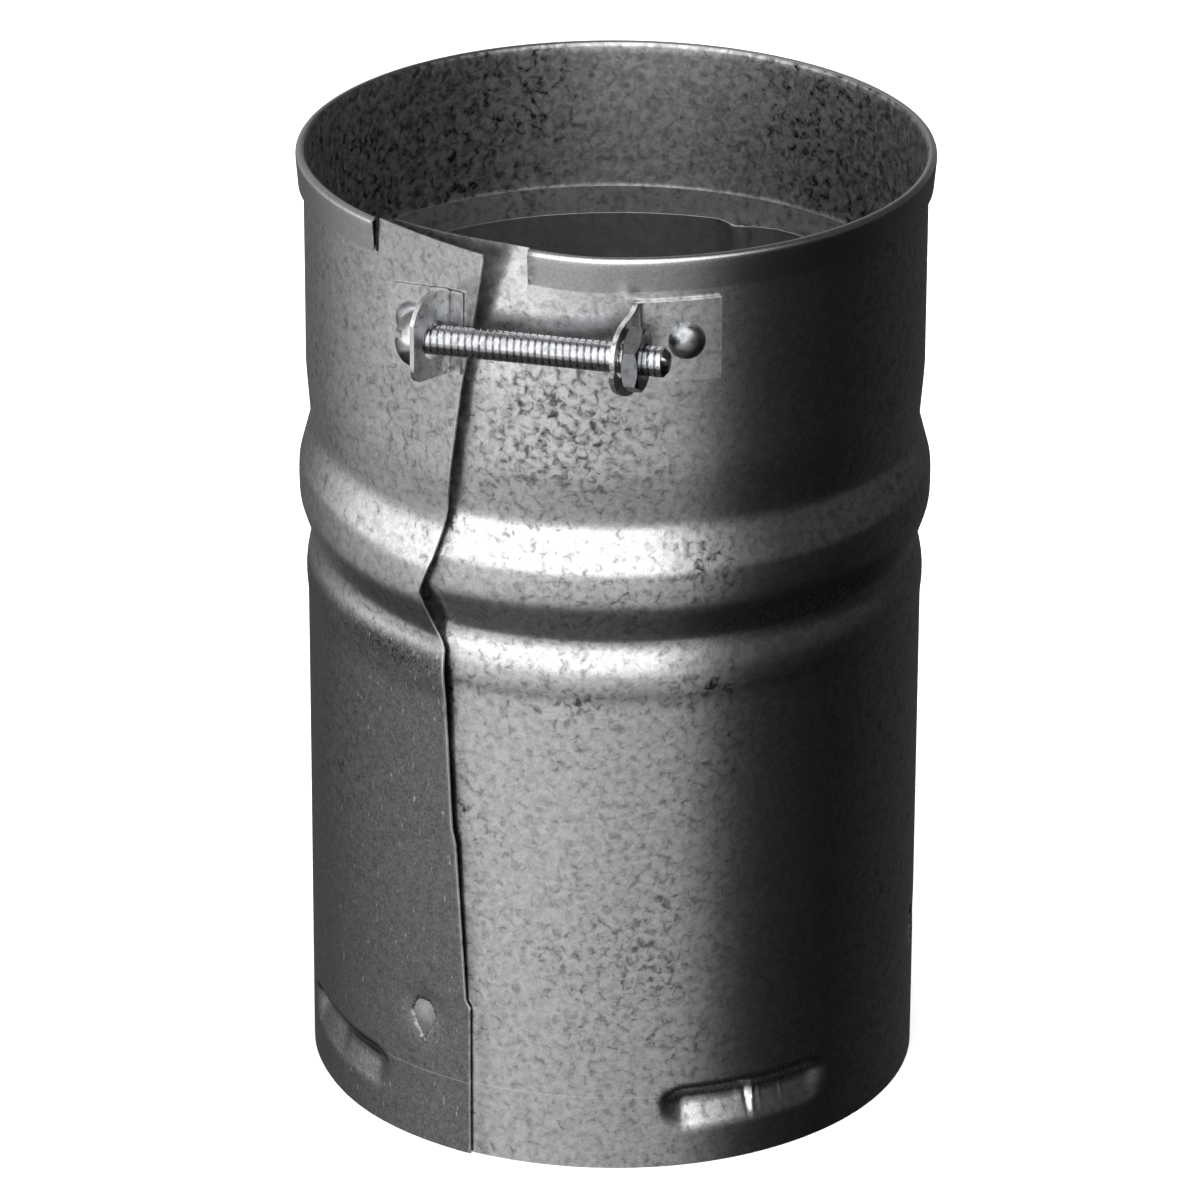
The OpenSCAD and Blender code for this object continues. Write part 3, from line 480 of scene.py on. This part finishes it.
rows, cols = len(heights) + len(hem_z), len(columns)
print("shell grid:", rows, "rows by", cols, "columns")
quads = grid_quads(rows, cols)
keep = np.ones(quads.shape[:2], bool)
seam = np.flatnonzero(np.diff(columns) < 1e-6)
keep[:, seam] = False
slot = np.searchsorted(columns, HEM_TO, side="right") - 1
keep[heights.searchsorted(HEM_LOW) :, slot] = False
hem_rows = np.arange(rows - 1) >= len(heights)
keep[np.ix_(hem_rows, bare[:-1] & bare[1:])] = False
shell_mid, shell_faces = weld(shell_points().reshape(-1, 3), quads[keep])
sheet_points, shell_faces = thicken(shell_mid, shell_faces, SHEET)
sheet_points[:, 2] = sheet_points[:, 2].clip(0)
shell = piece("shell_sheet", sheet_points, shell_faces, galvanised)


# %% Where the shell is dull, where shade and a highlight are painted on it, and where its marks are thick
def patch(a, z, middle, height, wide, high):
    """One at the middle of a soft oval, falling off as e to the minus distance squared."""
    return np.exp(-(((a - middle) / wide) ** 2) - ((z - height) / high) ** 2)


def paint(made, name, values):
    """Stores one number per point as an attribute that the finish reads."""
    made.data.attributes.new(name, "FLOAT", "POINT").data.foreach_set("value", values.astype(np.float32))


x, y, z = sheet_points.T
a, r = np.degrees(np.arctan2(x, -y)), np.hypot(x, y)
first_side = np.arange(len(r)) < len(shell_mid)
whole_turn = np.where(a < HEM_TO - 360, a + 360, a)
on_hem = (z > HEM_LOW - 0.5) & (r > shell_radius(whole_turn, z) + 0.1)
hemmed = on_hem & ((a > HEM_FROM) | (a < HEM_TO - 360))
outside = first_side | hemmed
from_edge = edge_at(z) - a
on_loose_end = ease((a + 130) / 40) * (r > MID_R - 4) * ease((from_edge - 0.12) / 0.2)
# The cut edge of the loose end is made lighter: a painted highlight, taken off its dull value
painted_edge_highlight = (np.abs(from_edge) < 0.12) * (z > 30)
worn_and_edge_highlight = on_loose_end - 0.5 * painted_edge_highlight
low_half = np.where(worn_and_edge_highlight > 0, ease((103 - z) / 4), 1)
clear_of_bowl = 1 - sum(patch(a, z, m - 360 * (m > 180), DIMPLE_Z + 0.4, 2.9, 2.9) for m in DIMPLES)
# A band beside the free edge is made darker: painted shade from the loose end standing off the sheet
painted_shade_beside_lap = 0.75 * ease((3.4 + from_edge) / 3.2) * (from_edge < 0) * ease((158 - z) / 12) * first_side
under_bead = 0.3 * worn_and_edge_highlight.clip(0) * patch(a, z, -45, 98.5, 16, 3.5)
# The shell's inside is made darker except on the far wall: painted shade, scratched like dull metal
painted_shade_inside = 0.8 * (1 - patch(a % 360, z, 174, z, 22, 1)) * ~outside
# This value holds the loose end's dull finish, painted shade beside the lap and inside, and a painted
# highlight on the cut edge
paint(shell, "dull_and_painted_light", worn_and_edge_highlight * low_half * clear_of_bowl + painted_shade_beside_lap + under_bead + painted_shade_inside)

# Where blots crowd on the outside: (share, angle, height, half width in degrees, half height)
CROWDS = [(0.15, -8, 146, 17, 15), (0.20, 17, 121, 6, 5), (0.10, 2, 116, 5, 4), (0.10, 22, 84, 9, 14),
          (0.14, -6, 94, 9, 3), (0.15, 17, 97, 7, 3), (0.05, 5, 45, 20, 24), (0.06, -62, 75, 12, 30)]
crowded = sum(share * patch(a, z, *oval) for share, *oval in CROWDS)
far_wall = patch(a % 360, z, 195, 162, 45, 26)
calm = 0.14 * worn_and_edge_highlight.clip(0) * low_half + 0.14 * hemmed
paint(shell, "speckle", np.where(outside, crowded - 0.02 - calm, 0.04 * far_wall - 0.09))
paint(shell, "inside", np.where(outside, 0.0, 1.0))
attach(shell, "pipe")
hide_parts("shell")

# %% [markdown]
# ## The liner and the spacer rings
# The liner is thin aluminium, rolled and lapped, and its raw top edge isn't quite level: at the seam
# the inner lap curls into the flue. A plain tube would lose that seam, so it is the same kind of grid as
# the shell. The upper ring is pressed round from strip, so it is a profile with soft bends, turned about
# the axis. The lower ring can't be seen, so the CAD node stays and only takes a finish.

# %% Liner
LINER_MID, LINER_T, LINER_LOW, LINER_TOP = 50.95, 0.3, 3.0, 148.4
LINER_STEP_A, LINER_STEP = 508.8, 0.38
DENT_A, DENT = 152.5, 2.3


def liner_points():
    """Angle by height. Past the seam the radius steps in by a sheet and its gap. Near the top both ends
    are bent into the flue: a dent that falls away evenly on both sides of its deepest line."""
    t = steps((150.5, 162, 0.8), (162, 498, 2.9), (498, 513.5, 0.7))
    t = np.concatenate([t[t < LINER_STEP_A], [LINER_STEP_A, LINER_STEP_A + 0.4], t[t > LINER_STEP_A + 0.6]])
    z = steps((LINER_LOW, 120, 9), (120, LINER_TOP, 2.4))[:, None]
    step_in = LINER_STEP * ease((t - LINER_STEP_A) / 0.4)
    beside = t % 360 - DENT_A
    half = np.where(beside > 0, 5.0, 9.0)
    dent = DENT * np.clip(1 - np.abs(beside) / half, 0, 1) * ease((z - 122) / 26)
    waves = 0.12 * np.sin(4 * np.radians(t)) * ease((z - 60) / 88)
    wavy_top = 0.35 * np.sin(np.radians(t) * 3 + 1) * ease((z - 130) / 18)
    return around(LINER_MID - step_in - dent + waves, t, z + wavy_top), z.size, t.size


liner_mid, liner_rows, liner_cols = liner_points()
liner_mid, liner_faces = weld(liner_mid.reshape(-1, 3), grid_quads(liner_rows, liner_cols))
liner = piece("liner_sheet", *thicken(liner_mid, liner_faces, LINER_T), mill_aluminium)
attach(liner, "pipe")
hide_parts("liner")


# %% Spacer rings
RING_T, RING_OUT, RING_IN = 0.5, 56.39, 51.41
RING_TOP, RING_LOW, CONE_TOP, CONE_H = 151.6, 130.6, 141.9, 4.6


def as_is(points):
    """Leaves points where they are."""
    return points


def ring_outline(t):
    """The upper ring's profile, from its outer lip down over the cone to its inner lip, and back: half
    of t to each side of the middle line, along its normals."""
    middle_z = np.concatenate([np.linspace(RING_TOP, 142.4, 6), np.linspace(141.6, 137.6, 9),
                               np.linspace(136.8, RING_LOW, 4)])
    cone = ease((CONE_TOP - middle_z) / CONE_H)
    line = np.stack([RING_OUT - cone * (RING_OUT - RING_IN), middle_z], axis=1)
    way = np.gradient(line, axis=0)
    normal = np.stack([-way[:, 1], way[:, 0]], axis=1) / np.linalg.norm(way, axis=1, keepdims=True)
    out, back = line + normal * t / 2, (line - normal * t / 2)[::-1]
    return np.concatenate([out, back, out[:1]])


ring = turned_piece("upper_ring", ring_outline(RING_T)[::-1], as_is, strip_steel, columns=144)
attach(ring, "pipe")
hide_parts("upper_spacer")
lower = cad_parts["lower_spacer"]
lower.data.materials.clear()
lower.data.materials.append(strip_steel)

# %% [markdown]
# ## Clamp lugs
# Each lug is a plate of thicker steel: a foot curved to the shell, a bend, and an ear with a round
# hole for the screw. A box with a hole cut by a Boolean would leave long thin faces that shade badly, so
# it is one strip carried along a path seen from above, with its upper and lower outline given along that
# path. The hole is made by pulling the grid's squares round into a circle.

# %% Sizes of the clamp, as in the part's source
LUG_T, LUG_SEAT, LUG_Z, LUG_H = 0.9, 0.08, SHELL_H - 15.9, 15.2
SCREW_R, SCREW_A = SHELL_R + 5.65, -14.5
AXIS_T = np.array([math.cos(math.radians(SCREW_A)), math.sin(math.radians(SCREW_A))])
AXIS_N = np.array([math.sin(math.radians(SCREW_A)), -math.cos(math.radians(SCREW_A))])
HOLE_R = 3.5
HEAD_R, HEAD_H = 5.2, 4.1
NUT_HALF, NUT_T, NUT_BORE = 5.35, 3.0, 2.74
NUT_CORNER = 6.18
CLAMP_GAP = 0.1
# The angle where each ear stands, the angle that it points to, and its length
LEFT_A, LEFT_WAY, LEFT_EAR = -29.2, -35.0, 11.6
RIGHT_A, RIGHT_WAY, RIGHT_EAR = 4.2, -22.0, 13.2
# From an ear back to the foot's two ends and to the rivet, and how far the left foot hangs down
FOOT_L, FOOT_GAP, RIVET_BACK, LEFT_SAG = 14.6, 1.1, 8.3, 2.5
EAR_START = 1.5


def loose_radius(a):
    """Radius of the loose end's outside at angle a, at the clamp's height."""
    return SHELL_R + float(loose_push(np.array(a), np.array(LUG_Z)))


def root_point(a, radius):
    """Where an ear's plane meets its seat on the sheet, in plan."""
    return around(radius + LUG_SEAT, a, 0.0)[:2]


LEFT_ROOT, RIGHT_ROOT = root_point(LEFT_A, loose_radius(LEFT_A)), root_point(RIGHT_A, SHELL_R)
LEFT_DIR, RIGHT_DIR = around(1.0, LEFT_WAY, 0.0)[:2], around(1.0, RIGHT_WAY, 0.0)[:2]


def along_screw(root, way, out):
    """Distance along the screw's axis where an ear's middle plane is, out from the shell's axis."""
    return root @ AXIS_T + (out - root @ AXIS_N) / (way @ AXIS_N) * (way @ AXIS_T)


def half_plate(way):
    """Half the plate's thickness as the screw's axis passes through it."""
    return LUG_T / 2 / abs(np.dot([-way[1], way[0]], AXIS_T))


HEAD_S = along_screw(LEFT_ROOT, LEFT_DIR, SCREW_R + HEAD_R) - half_plate(LEFT_DIR) - CLAMP_GAP
NUT_S = along_screw(RIGHT_ROOT, RIGHT_DIR, SCREW_R - NUT_CORNER) + half_plate(RIGHT_DIR) + CLAMP_GAP
print("head and nut along the screw:", round(HEAD_S, 2), round(NUT_S, 2))


# %% A lug
def foot_path(a_far, a_near, loose, n):
    """The foot's middle line in plan, lying on the shell from its far end to the bend."""
    a = np.linspace(a_far, a_near, n)
    push = loose_push(a, np.full(n, LUG_Z)) if loose else 0.0
    return around(SHELL_R + push + LUG_SEAT + LUG_T / 2, a, 0.0)[:, :2]


def lug_grid(foot, root, way, length, high, low, sag):
    """Foot, bend and ear as one strip. The bend is a curve that leaves along one line and arrives along
    the other, drawn to their corner. High and low are the outline above and below the screw's height
    along the ear, and sag is how far the foot's far end hangs down. Round the hole, the grid's points
    move from their square to a circle of the same middle."""
    reach = (SCREW_R - root @ AXIS_N) / (way @ AXIS_N)
    ear = steps((EAR_START, reach - HOLE_R, 0.5), (reach - HOLE_R, reach + HOLE_R, 0.7),
                (reach + HOLE_R, length - 0.4, 0.5), (length - 0.4, length, 0.15))
    u = np.linspace(0, 1, 7)[1:-1, None]
    corner, ear_start = root + way * 0.5, root + way * EAR_START
    bend = (1 - u) ** 2 * foot[-1] + 2 * u * (1 - u) * corner + u**2 * ear_start
    plan = np.concatenate([foot, bend, root + way * ear[:, None]])
    x = np.concatenate([np.zeros(len(foot) + len(bend)), ear])
    is_ear = np.arange(len(plan)) >= len(foot) + len(bend)
    top, bottom = smooth_through(x, high), smooth_through(x, low)
    y = steps((-LUG_H / 2, -HOLE_R, 0.7), (-HOLE_R, HOLE_R, 0.7), (HOLE_R, LUG_H / 2, 0.7))
    share = y / (LUG_H / 2)
    v = np.where(share > 0, share * top[:, None], -share * bottom[:, None])
    back = np.linalg.norm(plan - foot[-1], axis=1) * ~is_ear
    v = v - sag * (back / max(back.max(), 1e-9))[:, None]
    dx, dy = (x - reach)[:, None] + 0 * v, y + 0 * v
    square = np.maximum(np.abs(dx), np.abs(dy))
    blend = np.clip((square - HOLE_R) / 1.6, 0, 1)
    angle = np.arctan2(dy, dx)
    ear_x = blend * x[:, None] + (1 - blend) * (reach + HOLE_R * np.cos(angle))
    v = np.where(is_ear[:, None], blend * v + (1 - blend) * HOLE_R * np.sin(angle), v)
    at = np.where(is_ear[:, None, None], root + way * ear_x[..., None], plan[:, None])
    points = np.concatenate([at, (LUG_Z + v)[..., None]], axis=-1)
    quads = grid_quads(len(plan), len(y))
    middle = (dx[:-1, :-1] + dx[1:, 1:]) / 2, (dy[:-1, :-1] + dy[1:, 1:]) / 2
    inside = is_ear[:-1, None] & (np.maximum(np.abs(middle[0]), np.abs(middle[1])) < HOLE_R)
    return weld(points.reshape(-1, 3), quads[~inside])


# %% The two lugs
def degrees_of(length):
    """Angle round the shell that a length takes up."""
    return math.degrees(length / SHELL_R)


# Outlines of the ears above and below the screw: (distance along the ear, height)
right_high = [(0, 7.6), (1.6, 7.7), (3.5, 6.8), (7.5, 6.1), (9.7, 5.5), (11.9, 3.9), (12.8, 2.2),
              (RIGHT_EAR, 0.8)]
right_low = [(0, -7.6), (4.2, -8.3), (7.8, -7.5), (10.2, -6.2), (11.8, -5.0), (12.8, -3.6),
             (RIGHT_EAR, -2.2)]
left_high = [(0, 7.6), (2.5, 8.6), (5.0, 9.0), (7.5, 8.7), (9.5, 7.7), (10.8, 6.2), (11.4, 5.0),
             (LEFT_EAR, 4.4)]
left_low = [(0, -7.6), (4.0, -7.3), (7.4, -6.9), (10.2, -6.5), (11.2, -5.6), (LEFT_EAR, -4.4)]
right_foot = foot_path(RIGHT_A + degrees_of(FOOT_L), RIGHT_A + degrees_of(FOOT_GAP), False, 14)
left_foot = foot_path(LEFT_A - degrees_of(FOOT_L), LEFT_A - degrees_of(FOOT_GAP), True, 14)
# The left lug's plate also shows on the other side of its ear, as a narrow strip
strip_plan = foot_path(LEFT_A + degrees_of(0.35), LEFT_A + degrees_of(2.6), True, 4)
strip_z = np.linspace(-LUG_H / 2, LUG_H / 2, 9)
strip_points = np.concatenate([np.repeat(strip_plan[:, None], 9, 1),
                               np.broadcast_to((LUG_Z + strip_z)[:, None], (4, 9, 1))], axis=-1)
right_strips = [lug_grid(right_foot, RIGHT_ROOT, RIGHT_DIR, RIGHT_EAR, right_high, right_low, 0.0)]
left_strips = [lug_grid(left_foot, LEFT_ROOT, LEFT_DIR, LEFT_EAR, left_high, left_low, LEFT_SAG),
               weld(strip_points.reshape(-1, 3), grid_quads(4, 9))]
# The left lug's grids run the other way round, so their faces are turned over
left_strips = [(mid, [f[:, ::-1] for f in mid_faces]) for mid, mid_faces in left_strips]
for name, strips in (("right_lug", right_strips), ("left_lug", left_strips)):
    points, faces = np.zeros((0, 3)), []
    for mid, mid_faces in strips:
        both, both_faces = thicken(mid, mid_faces, LUG_T)
        faces += [f + len(points) for f in both_faces]
        points = np.concatenate([points, both])
    lug = piece(name + "_plate", points, faces, plated_lug)
    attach(lug, "pipe")
    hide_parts(name)

# %% [markdown]
# ## Rivets, screw and nut
# The rivets are turned profiles: the dome that the rivet tool left, the shank through plate and sheet,
# and the upset tail inside. Screw and nut could be cylinders with a bump pattern, but their thread and
# corners show against the light, so they are shapes. The screw's thread is a grid of angle by length
# whose radius falls from crest to root with the turn of the helix, as a rolled thread does. The nut's
# corners come from dividing its half width by the cosine of the angle from the middle of a flat.

# %% Rivets
DOME_R, DOME_H, SHANK_R = 3.35, 2.25, 1.6
DOME_LOW = LUG_SEAT + LUG_T
TAIL_R, TAIL_LOW, TAIL_TOP = 2.4, -1.4, -0.5


def rivet_place(angle, turn_a, radius):
    """Puts a profile's own height outwards from the shell at an angle, turned to face turn_a."""
    out, side = around(1.0, turn_a, 0.0), around(1.0, turn_a + 90, 0.0)
    centre = around(radius, angle, LUG_Z)
    return lambda p: centre + p[:, :1] * side + p[:, 1:2] * [0, 0, 1] + p[:, 2:] * out


def rivet_outline():
    """Upset tail, shank and dome. The dome's radius follows the cosine to the power of 0.8, which makes
    its side a little fuller than a ball's."""
    a = np.radians(np.linspace(0, 90, 10))
    dome = np.stack([DOME_R * np.cos(a) ** 0.8, DOME_LOW + DOME_H * np.sin(a)], axis=1)
    tail = [[0, TAIL_LOW], [TAIL_R - 0.5, TAIL_LOW], [TAIL_R, TAIL_LOW + 0.25], [TAIL_R, TAIL_TOP]]
    shank = [[SHANK_R, TAIL_TOP], [SHANK_R, DOME_LOW]]
    return np.concatenate([tail, shank, dome])


left_rivet_a, right_rivet_a = LEFT_A - degrees_of(RIVET_BACK), RIGHT_A + degrees_of(RIVET_BACK)
# The loose end isn't round there, so the left rivet faces square to two points beside it
before, after = (around(loose_radius(left_rivet_a + d), left_rivet_a + d, 0.0) for d in (-1.0, 1.0))
left_faces_a = math.degrees(math.atan2(*(after - before)[1::-1]))
for name, angle, facing, radius in (
    ("left_rivet", left_rivet_a, left_faces_a, loose_radius(left_rivet_a)),
    ("right_rivet", right_rivet_a, right_rivet_a, SHELL_R),
):
    place = rivet_place(angle, facing, radius)
    rivet = turned_piece(name + "_head", rivet_outline(), place, rivet_aluminium, 48)
    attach(rivet, "pipe")
    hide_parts(name)


# %% Screw
def on_screw(p, s=0.0):
    """From the screw's own frame, where z runs along it from the shell point it passes over."""
    x, y, z = p.T
    plan = SCREW_R * AXIS_N + (z + s)[:, None] * AXIS_T + y[:, None] * [-AXIS_T[1], AXIS_T[0]]
    return np.column_stack([plan, LUG_Z - x])


# The thread's pitch and outside radius, the screw's length, the groove's depth, and the tip's radius
PITCH, MAJOR, SCREW_L, CUT_DEPTH, TIP_R = 1.27, 2.7, 45.5, 0.36, 1.75
# Half the driver slot's width, its floor's height above the head's seat, and its turn in degrees
SLOT_HALF, SLOT_FLOOR, SLOT_TURN = 0.65, 2.2, 62


def thread():
    """Radius by turn and length: the crest, less the groove's depth where the share of a pitch is near
    half. The groove fades in under the head, and the end has a chamfer."""
    theta = np.linspace(0, 2 * np.pi, 48, endpoint=False)
    s = np.linspace(0.3, SCREW_L - 0.8, 390)[:, None]
    share = (s / PITCH - theta / (2 * np.pi)) % 1.0
    cut = ease((0.5 - np.abs(share - 0.5) - 0.35) / 0.13)
    r = MAJOR - CUT_DEPTH * cut * ease((s - 0.6) / 1.5)
    r, s, theta = np.broadcast_arrays(r, s, theta)
    body = np.stack([r * np.cos(theta), r * np.sin(theta), s], axis=-1)
    circle = np.stack([np.cos(theta[0]), np.sin(theta[0]), np.zeros(48)], axis=-1)
    tip, root = TIP_R * circle + [0, 0, SCREW_L], MAJOR * circle
    poles = np.zeros((2, 48, 3))
    poles[1, :, 2] = SCREW_L
    grid = np.concatenate([poles[:1], root[None], body, tip[None], poles[1:]])
    return weld(grid.reshape(-1, 3), grid_quads(len(grid), 48, ring=True))


def screw_head():
    """A dome over a disc of chords. Each chord runs along the driver slot, and the slot is where the
    dome is cut down to the slot's floor, with each of its walls between two chords."""
    beside = HEAD_R * np.cos(np.linspace(0, 1.43, 16))
    y = np.concatenate([-beside, [-SLOT_HALF] * 2, [0.0], [SLOT_HALF] * 2, beside[::-1]])
    along = np.sin(np.linspace(-np.pi / 2, np.pi / 2, 29))
    x = np.sqrt(np.clip(HEAD_R**2 - y**2, 0, None))[:, None] * along
    y = y[:, None] + 0 * x
    dome = HEAD_H * np.sqrt(np.clip(1 - (x**2 + y**2) / HEAD_R**2, 0, 1)) ** 0.9
    # The floor's chords are the second of the slot's first edge, its middle, and the first of its other edge
    in_slot = np.zeros(len(y), bool)
    in_slot[17:20] = True
    top = np.where(in_slot[:, None], np.minimum(dome, SLOT_FLOOR), dome)
    turn_a = math.radians(SLOT_TURN)
    xr, yr = x * math.cos(turn_a) - y * math.sin(turn_a), x * math.sin(turn_a) + y * math.cos(turn_a)
    grid = np.stack([np.stack([xr, yr, -top], -1), np.stack([xr, yr, 0 * top], -1)])
    n = x.size
    quads = grid_quads(*x.shape).reshape(-1, 4)
    faces = np.concatenate([quads[:, ::-1], quads + n])
    return weld(grid.reshape(-1, 3), faces)


for name, (points, faces) in (("screw_thread", thread()), ("screw_head", screw_head())):
    part = piece(name, on_screw(points, HEAD_S), faces, plated_screw, 50)
    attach(part, "screw")
    if name == "screw_thread":
        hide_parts("clamp_screw")


# %% Nut
def nut_grid():
    """Rows go out over one face, down the flats and back through the bore. A flat is at its half width
    over the cosine of the angle from its middle, and the chamfer takes the corners off along a cone."""
    theta = np.linspace(0, 360, 96, endpoint=False)
    flat = NUT_HALF / np.cos(np.radians(theta % 60 - 30))
    corner = NUT_HALF / math.cos(math.radians(30))
    off = 0.04 + 0.5 * (flat - NUT_HALF) / (corner - NUT_HALF)
    one = np.ones_like(theta)
    face_r, sink_r, sink = 0.985 * NUT_HALF, 3.15, 0.4
    r = np.array([sink_r * one, face_r * one, flat, flat, face_r * one, sink_r * one,
                  NUT_BORE * one, NUT_BORE * one])
    z = np.array([0 * one, 0 * one, off, NUT_T - off, NUT_T * one, NUT_T * one,
                  (NUT_T - sink) * one, sink * one])
    r, z = np.concatenate([r, r[:1]]), np.concatenate([z, z[:1]])
    a = np.radians(theta)
    grid = np.stack([r * np.cos(a), r * np.sin(a), z], axis=-1)
    return weld(grid.reshape(-1, 3), grid_quads(len(r), 96, ring=True))


points, faces = nut_grid()
nut = piece("clamp_nut_hex", on_screw(points, NUT_S), faces, plated_nut, 25)
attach(nut, "nut")
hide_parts("clamp_nut")

# %% [markdown]
# ## Floor, light and camera
# The object stands on a plain pale floor. Metal shows what is around it, so the light decides how it
# looks: a large soft box at the front left and black cards at the right would do it in a real studio.
# Here one world does both, because its greys can change smoothly round the compass and with height. The
# floor is left out of the reflections, as a black card below the picture would do.

# %% Floor
FLOOR = 6.0
floor_mesh = bpy.data.meshes.new("floor")
corners = [(-FLOOR, -FLOOR, 0), (FLOOR, -FLOOR, 0), (FLOOR, FLOOR, 0), (-FLOOR, FLOOR, 0)]
floor_mesh.from_pydata(corners, [], [(0, 1, 2, 3)])
floor = bpy.data.objects.new("floor", floor_mesh)
bpy.context.scene.collection.objects.link(floor)
# Matt paint under a high light: even and nearly white, with no shine
white = bpy.data.materials.new("matt white paint")
white.use_nodes = True
white_shader = white.node_tree.nodes["Principled BSDF"]
white_shader.inputs["Base Color"].default_value = linear("#f4f4f4")
white_shader.inputs["Roughness"].default_value = 0.9
floor_mesh.materials.append(white)
floor.visible_glossy = False
floor.visible_shadow = False


# %% The world's greys
# Greys round the compass, (angle from the front, grey): just below the horizon, and above it
BELOW = [(-180, 0.06), (-140, 0.14), (-100, 0.42), (-70, 0.63), (-40, 0.66), (-20, 0.62),
         (0, 0.48), (20, 0.42), (29, 0.27), (39, 0.06), (50, 0.010), (90, 0.004), (180, 0.05)]
ABOVE = [(-180, 0.16), (-130, 0.22), (-100, 0.60), (-70, 1.0), (-40, 1.0), (12, 1.0),
         (25, 0.30), (37, 0.06), (60, 0.02), (130, 0.03), (180, 0.16)]
ABOVE_STRENGTH, GROUND = 1.75, 0.12


def greys_round(tree, stops, turn):
    """The grey that a list of stops gives at a share of the way round the compass."""
    ramp = add(tree, "ShaderNodeValToRGB", {"Fac": turn})
    for _ in stops[2:]:
        ramp.color_ramp.elements.new(0.5)
    for element, (angle, grey) in zip(ramp.color_ramp.elements, stops):
        element.position, element.color = (angle + 180) / 360, (grey, grey, grey, 1)
    return ramp.outputs[0]


def studio(name):
    """A world whose brightness depends on the way it is looked at: its compass angle picks a grey from
    each list, and its height mixes them between -15 and -4 degrees. The upper list turns by up to 26
    degrees from 7 to 27 degrees up, so high light reaches further right. The ground below is dark."""
    world = bpy.data.worlds.new(name)
    world.use_nodes = True
    tree = world.node_tree
    way = add(tree, "ShaderNodeTexCoord").outputs["Generated"]
    xyz = add(tree, "ShaderNodeSeparateXYZ", {0: way}).outputs
    front = add(tree, "ShaderNodeMath", {0: xyz[1], 1: -1.0}, operation="MULTIPLY").outputs[0]
    compass = add(tree, "ShaderNodeMath", {0: xyz[0], 1: front}, operation="ARCTAN2").outputs[0]
    turn = add(tree, "ShaderNodeMapRange", {
        "Value": compass, "From Min": -math.pi, "From Max": math.pi}).outputs[0]
    height = add(tree, "ShaderNodeMath", {0: xyz[2]}, operation="ARCSINE").outputs[0]
    slant = add(tree, "ShaderNodeMapRange", {
        "Value": height, "From Min": math.radians(7), "From Max": math.radians(27),
        "To Max": -26 / 360}).outputs[0]
    slanted = add(tree, "ShaderNodeMath", {0: turn, 1: slant}, operation="ADD").outputs[0]
    low, high = greys_round(tree, BELOW, turn), greys_round(tree, ABOVE, slanted)
    brighter = add(tree, "ShaderNodeVectorMath", {
        0: high, "Scale": ABOVE_STRENGTH}, operation="SCALE").outputs[0]
    horizon = add(tree, "ShaderNodeMapRange", {
        "Value": height, "From Min": math.radians(-15), "From Max": math.radians(-4)},
        interpolation_type="SMOOTHSTEP").outputs[0]
    sky = add(tree, "ShaderNodeMix", {0: horizon, 6: low, 7: brighter}, data_type="RGBA").outputs[2]
    ground = add(tree, "ShaderNodeMapRange", {
        "Value": height, "From Min": math.radians(-40), "From Max": math.radians(-26), "To Min": GROUND},
        interpolation_type="SMOOTHSTEP").outputs[0]
    tree.links.new(sky, tree.nodes["Background"].inputs["Color"])
    tree.links.new(ground, tree.nodes["Background"].inputs["Strength"])
    return world


# %% Light on the floor
AIM_Z = 0.09


def panel(name, azimuth, elevation, distance, wide, high, power):
    """A soft area light that faces the object from an azimuth round it and an elevation."""
    data = bpy.data.lights.new(name, "AREA")
    data.shape, data.size, data.size_y, data.energy = "RECTANGLE", wide, high, power
    made = bpy.data.objects.new(name, data)
    a, e = math.radians(azimuth), math.radians(elevation)
    back = np.array([math.sin(a) * math.cos(e), -math.cos(a) * math.cos(e), math.sin(e)])
    made.location = back * distance + [0, 0, AIM_Z]
    made.rotation_euler = (math.pi / 2 - e, 0, a)
    bpy.context.scene.collection.objects.link(made)
    return made


bpy.context.scene.world = studio("dark studio with a bright front")
# The floor needs its own light to be white, and the metal doesn't show the panel that gives it
top = panel("top", azimuth=0, elevation=86, distance=1.6, wide=3.0, high=3.0, power=78)
top.visible_glossy = False

# %% Camera
cam_data = bpy.data.cameras.new("camera")
camera = bpy.data.objects.new("camera", cam_data)
bpy.context.scene.collection.objects.link(camera)
# Height angle, distance in metres, and roll, matched to the rim's and the foot's ellipses in the photo
CAM_E, CAM_D, CAM_ROLL = math.radians(23.6), 1.3734, math.radians(0.262)
# Focal length and the picture's shift, in pixels of the photo
PHOTO, FOCAL, SHIFT_X, SHIFT_Y = 1200, 7332, -14.3, -2.0
camera.location = (0, -CAM_D * math.cos(CAM_E), SHELL_H * MM / 2 + CAM_D * math.sin(CAM_E))
upright = mathutils.Matrix.Rotation(math.pi / 2 - CAM_E, 3, "X")
camera.rotation_euler = (upright @ mathutils.Matrix.Rotation(CAM_ROLL, 3, "Z")).to_euler()
cam_data.sensor_width = 36
cam_data.lens = cam_data.sensor_width * FOCAL / PHOTO
cam_data.shift_x, cam_data.shift_y = SHIFT_X / PHOTO, SHIFT_Y / PHOTO
cam_data.clip_start, cam_data.clip_end = 0.05, 30
print("lens", round(cam_data.lens, 1), "mm at", CAM_D, "m")
bpy.context.scene.camera = camera
bpy.context.scene.view_settings.view_transform = "Standard"
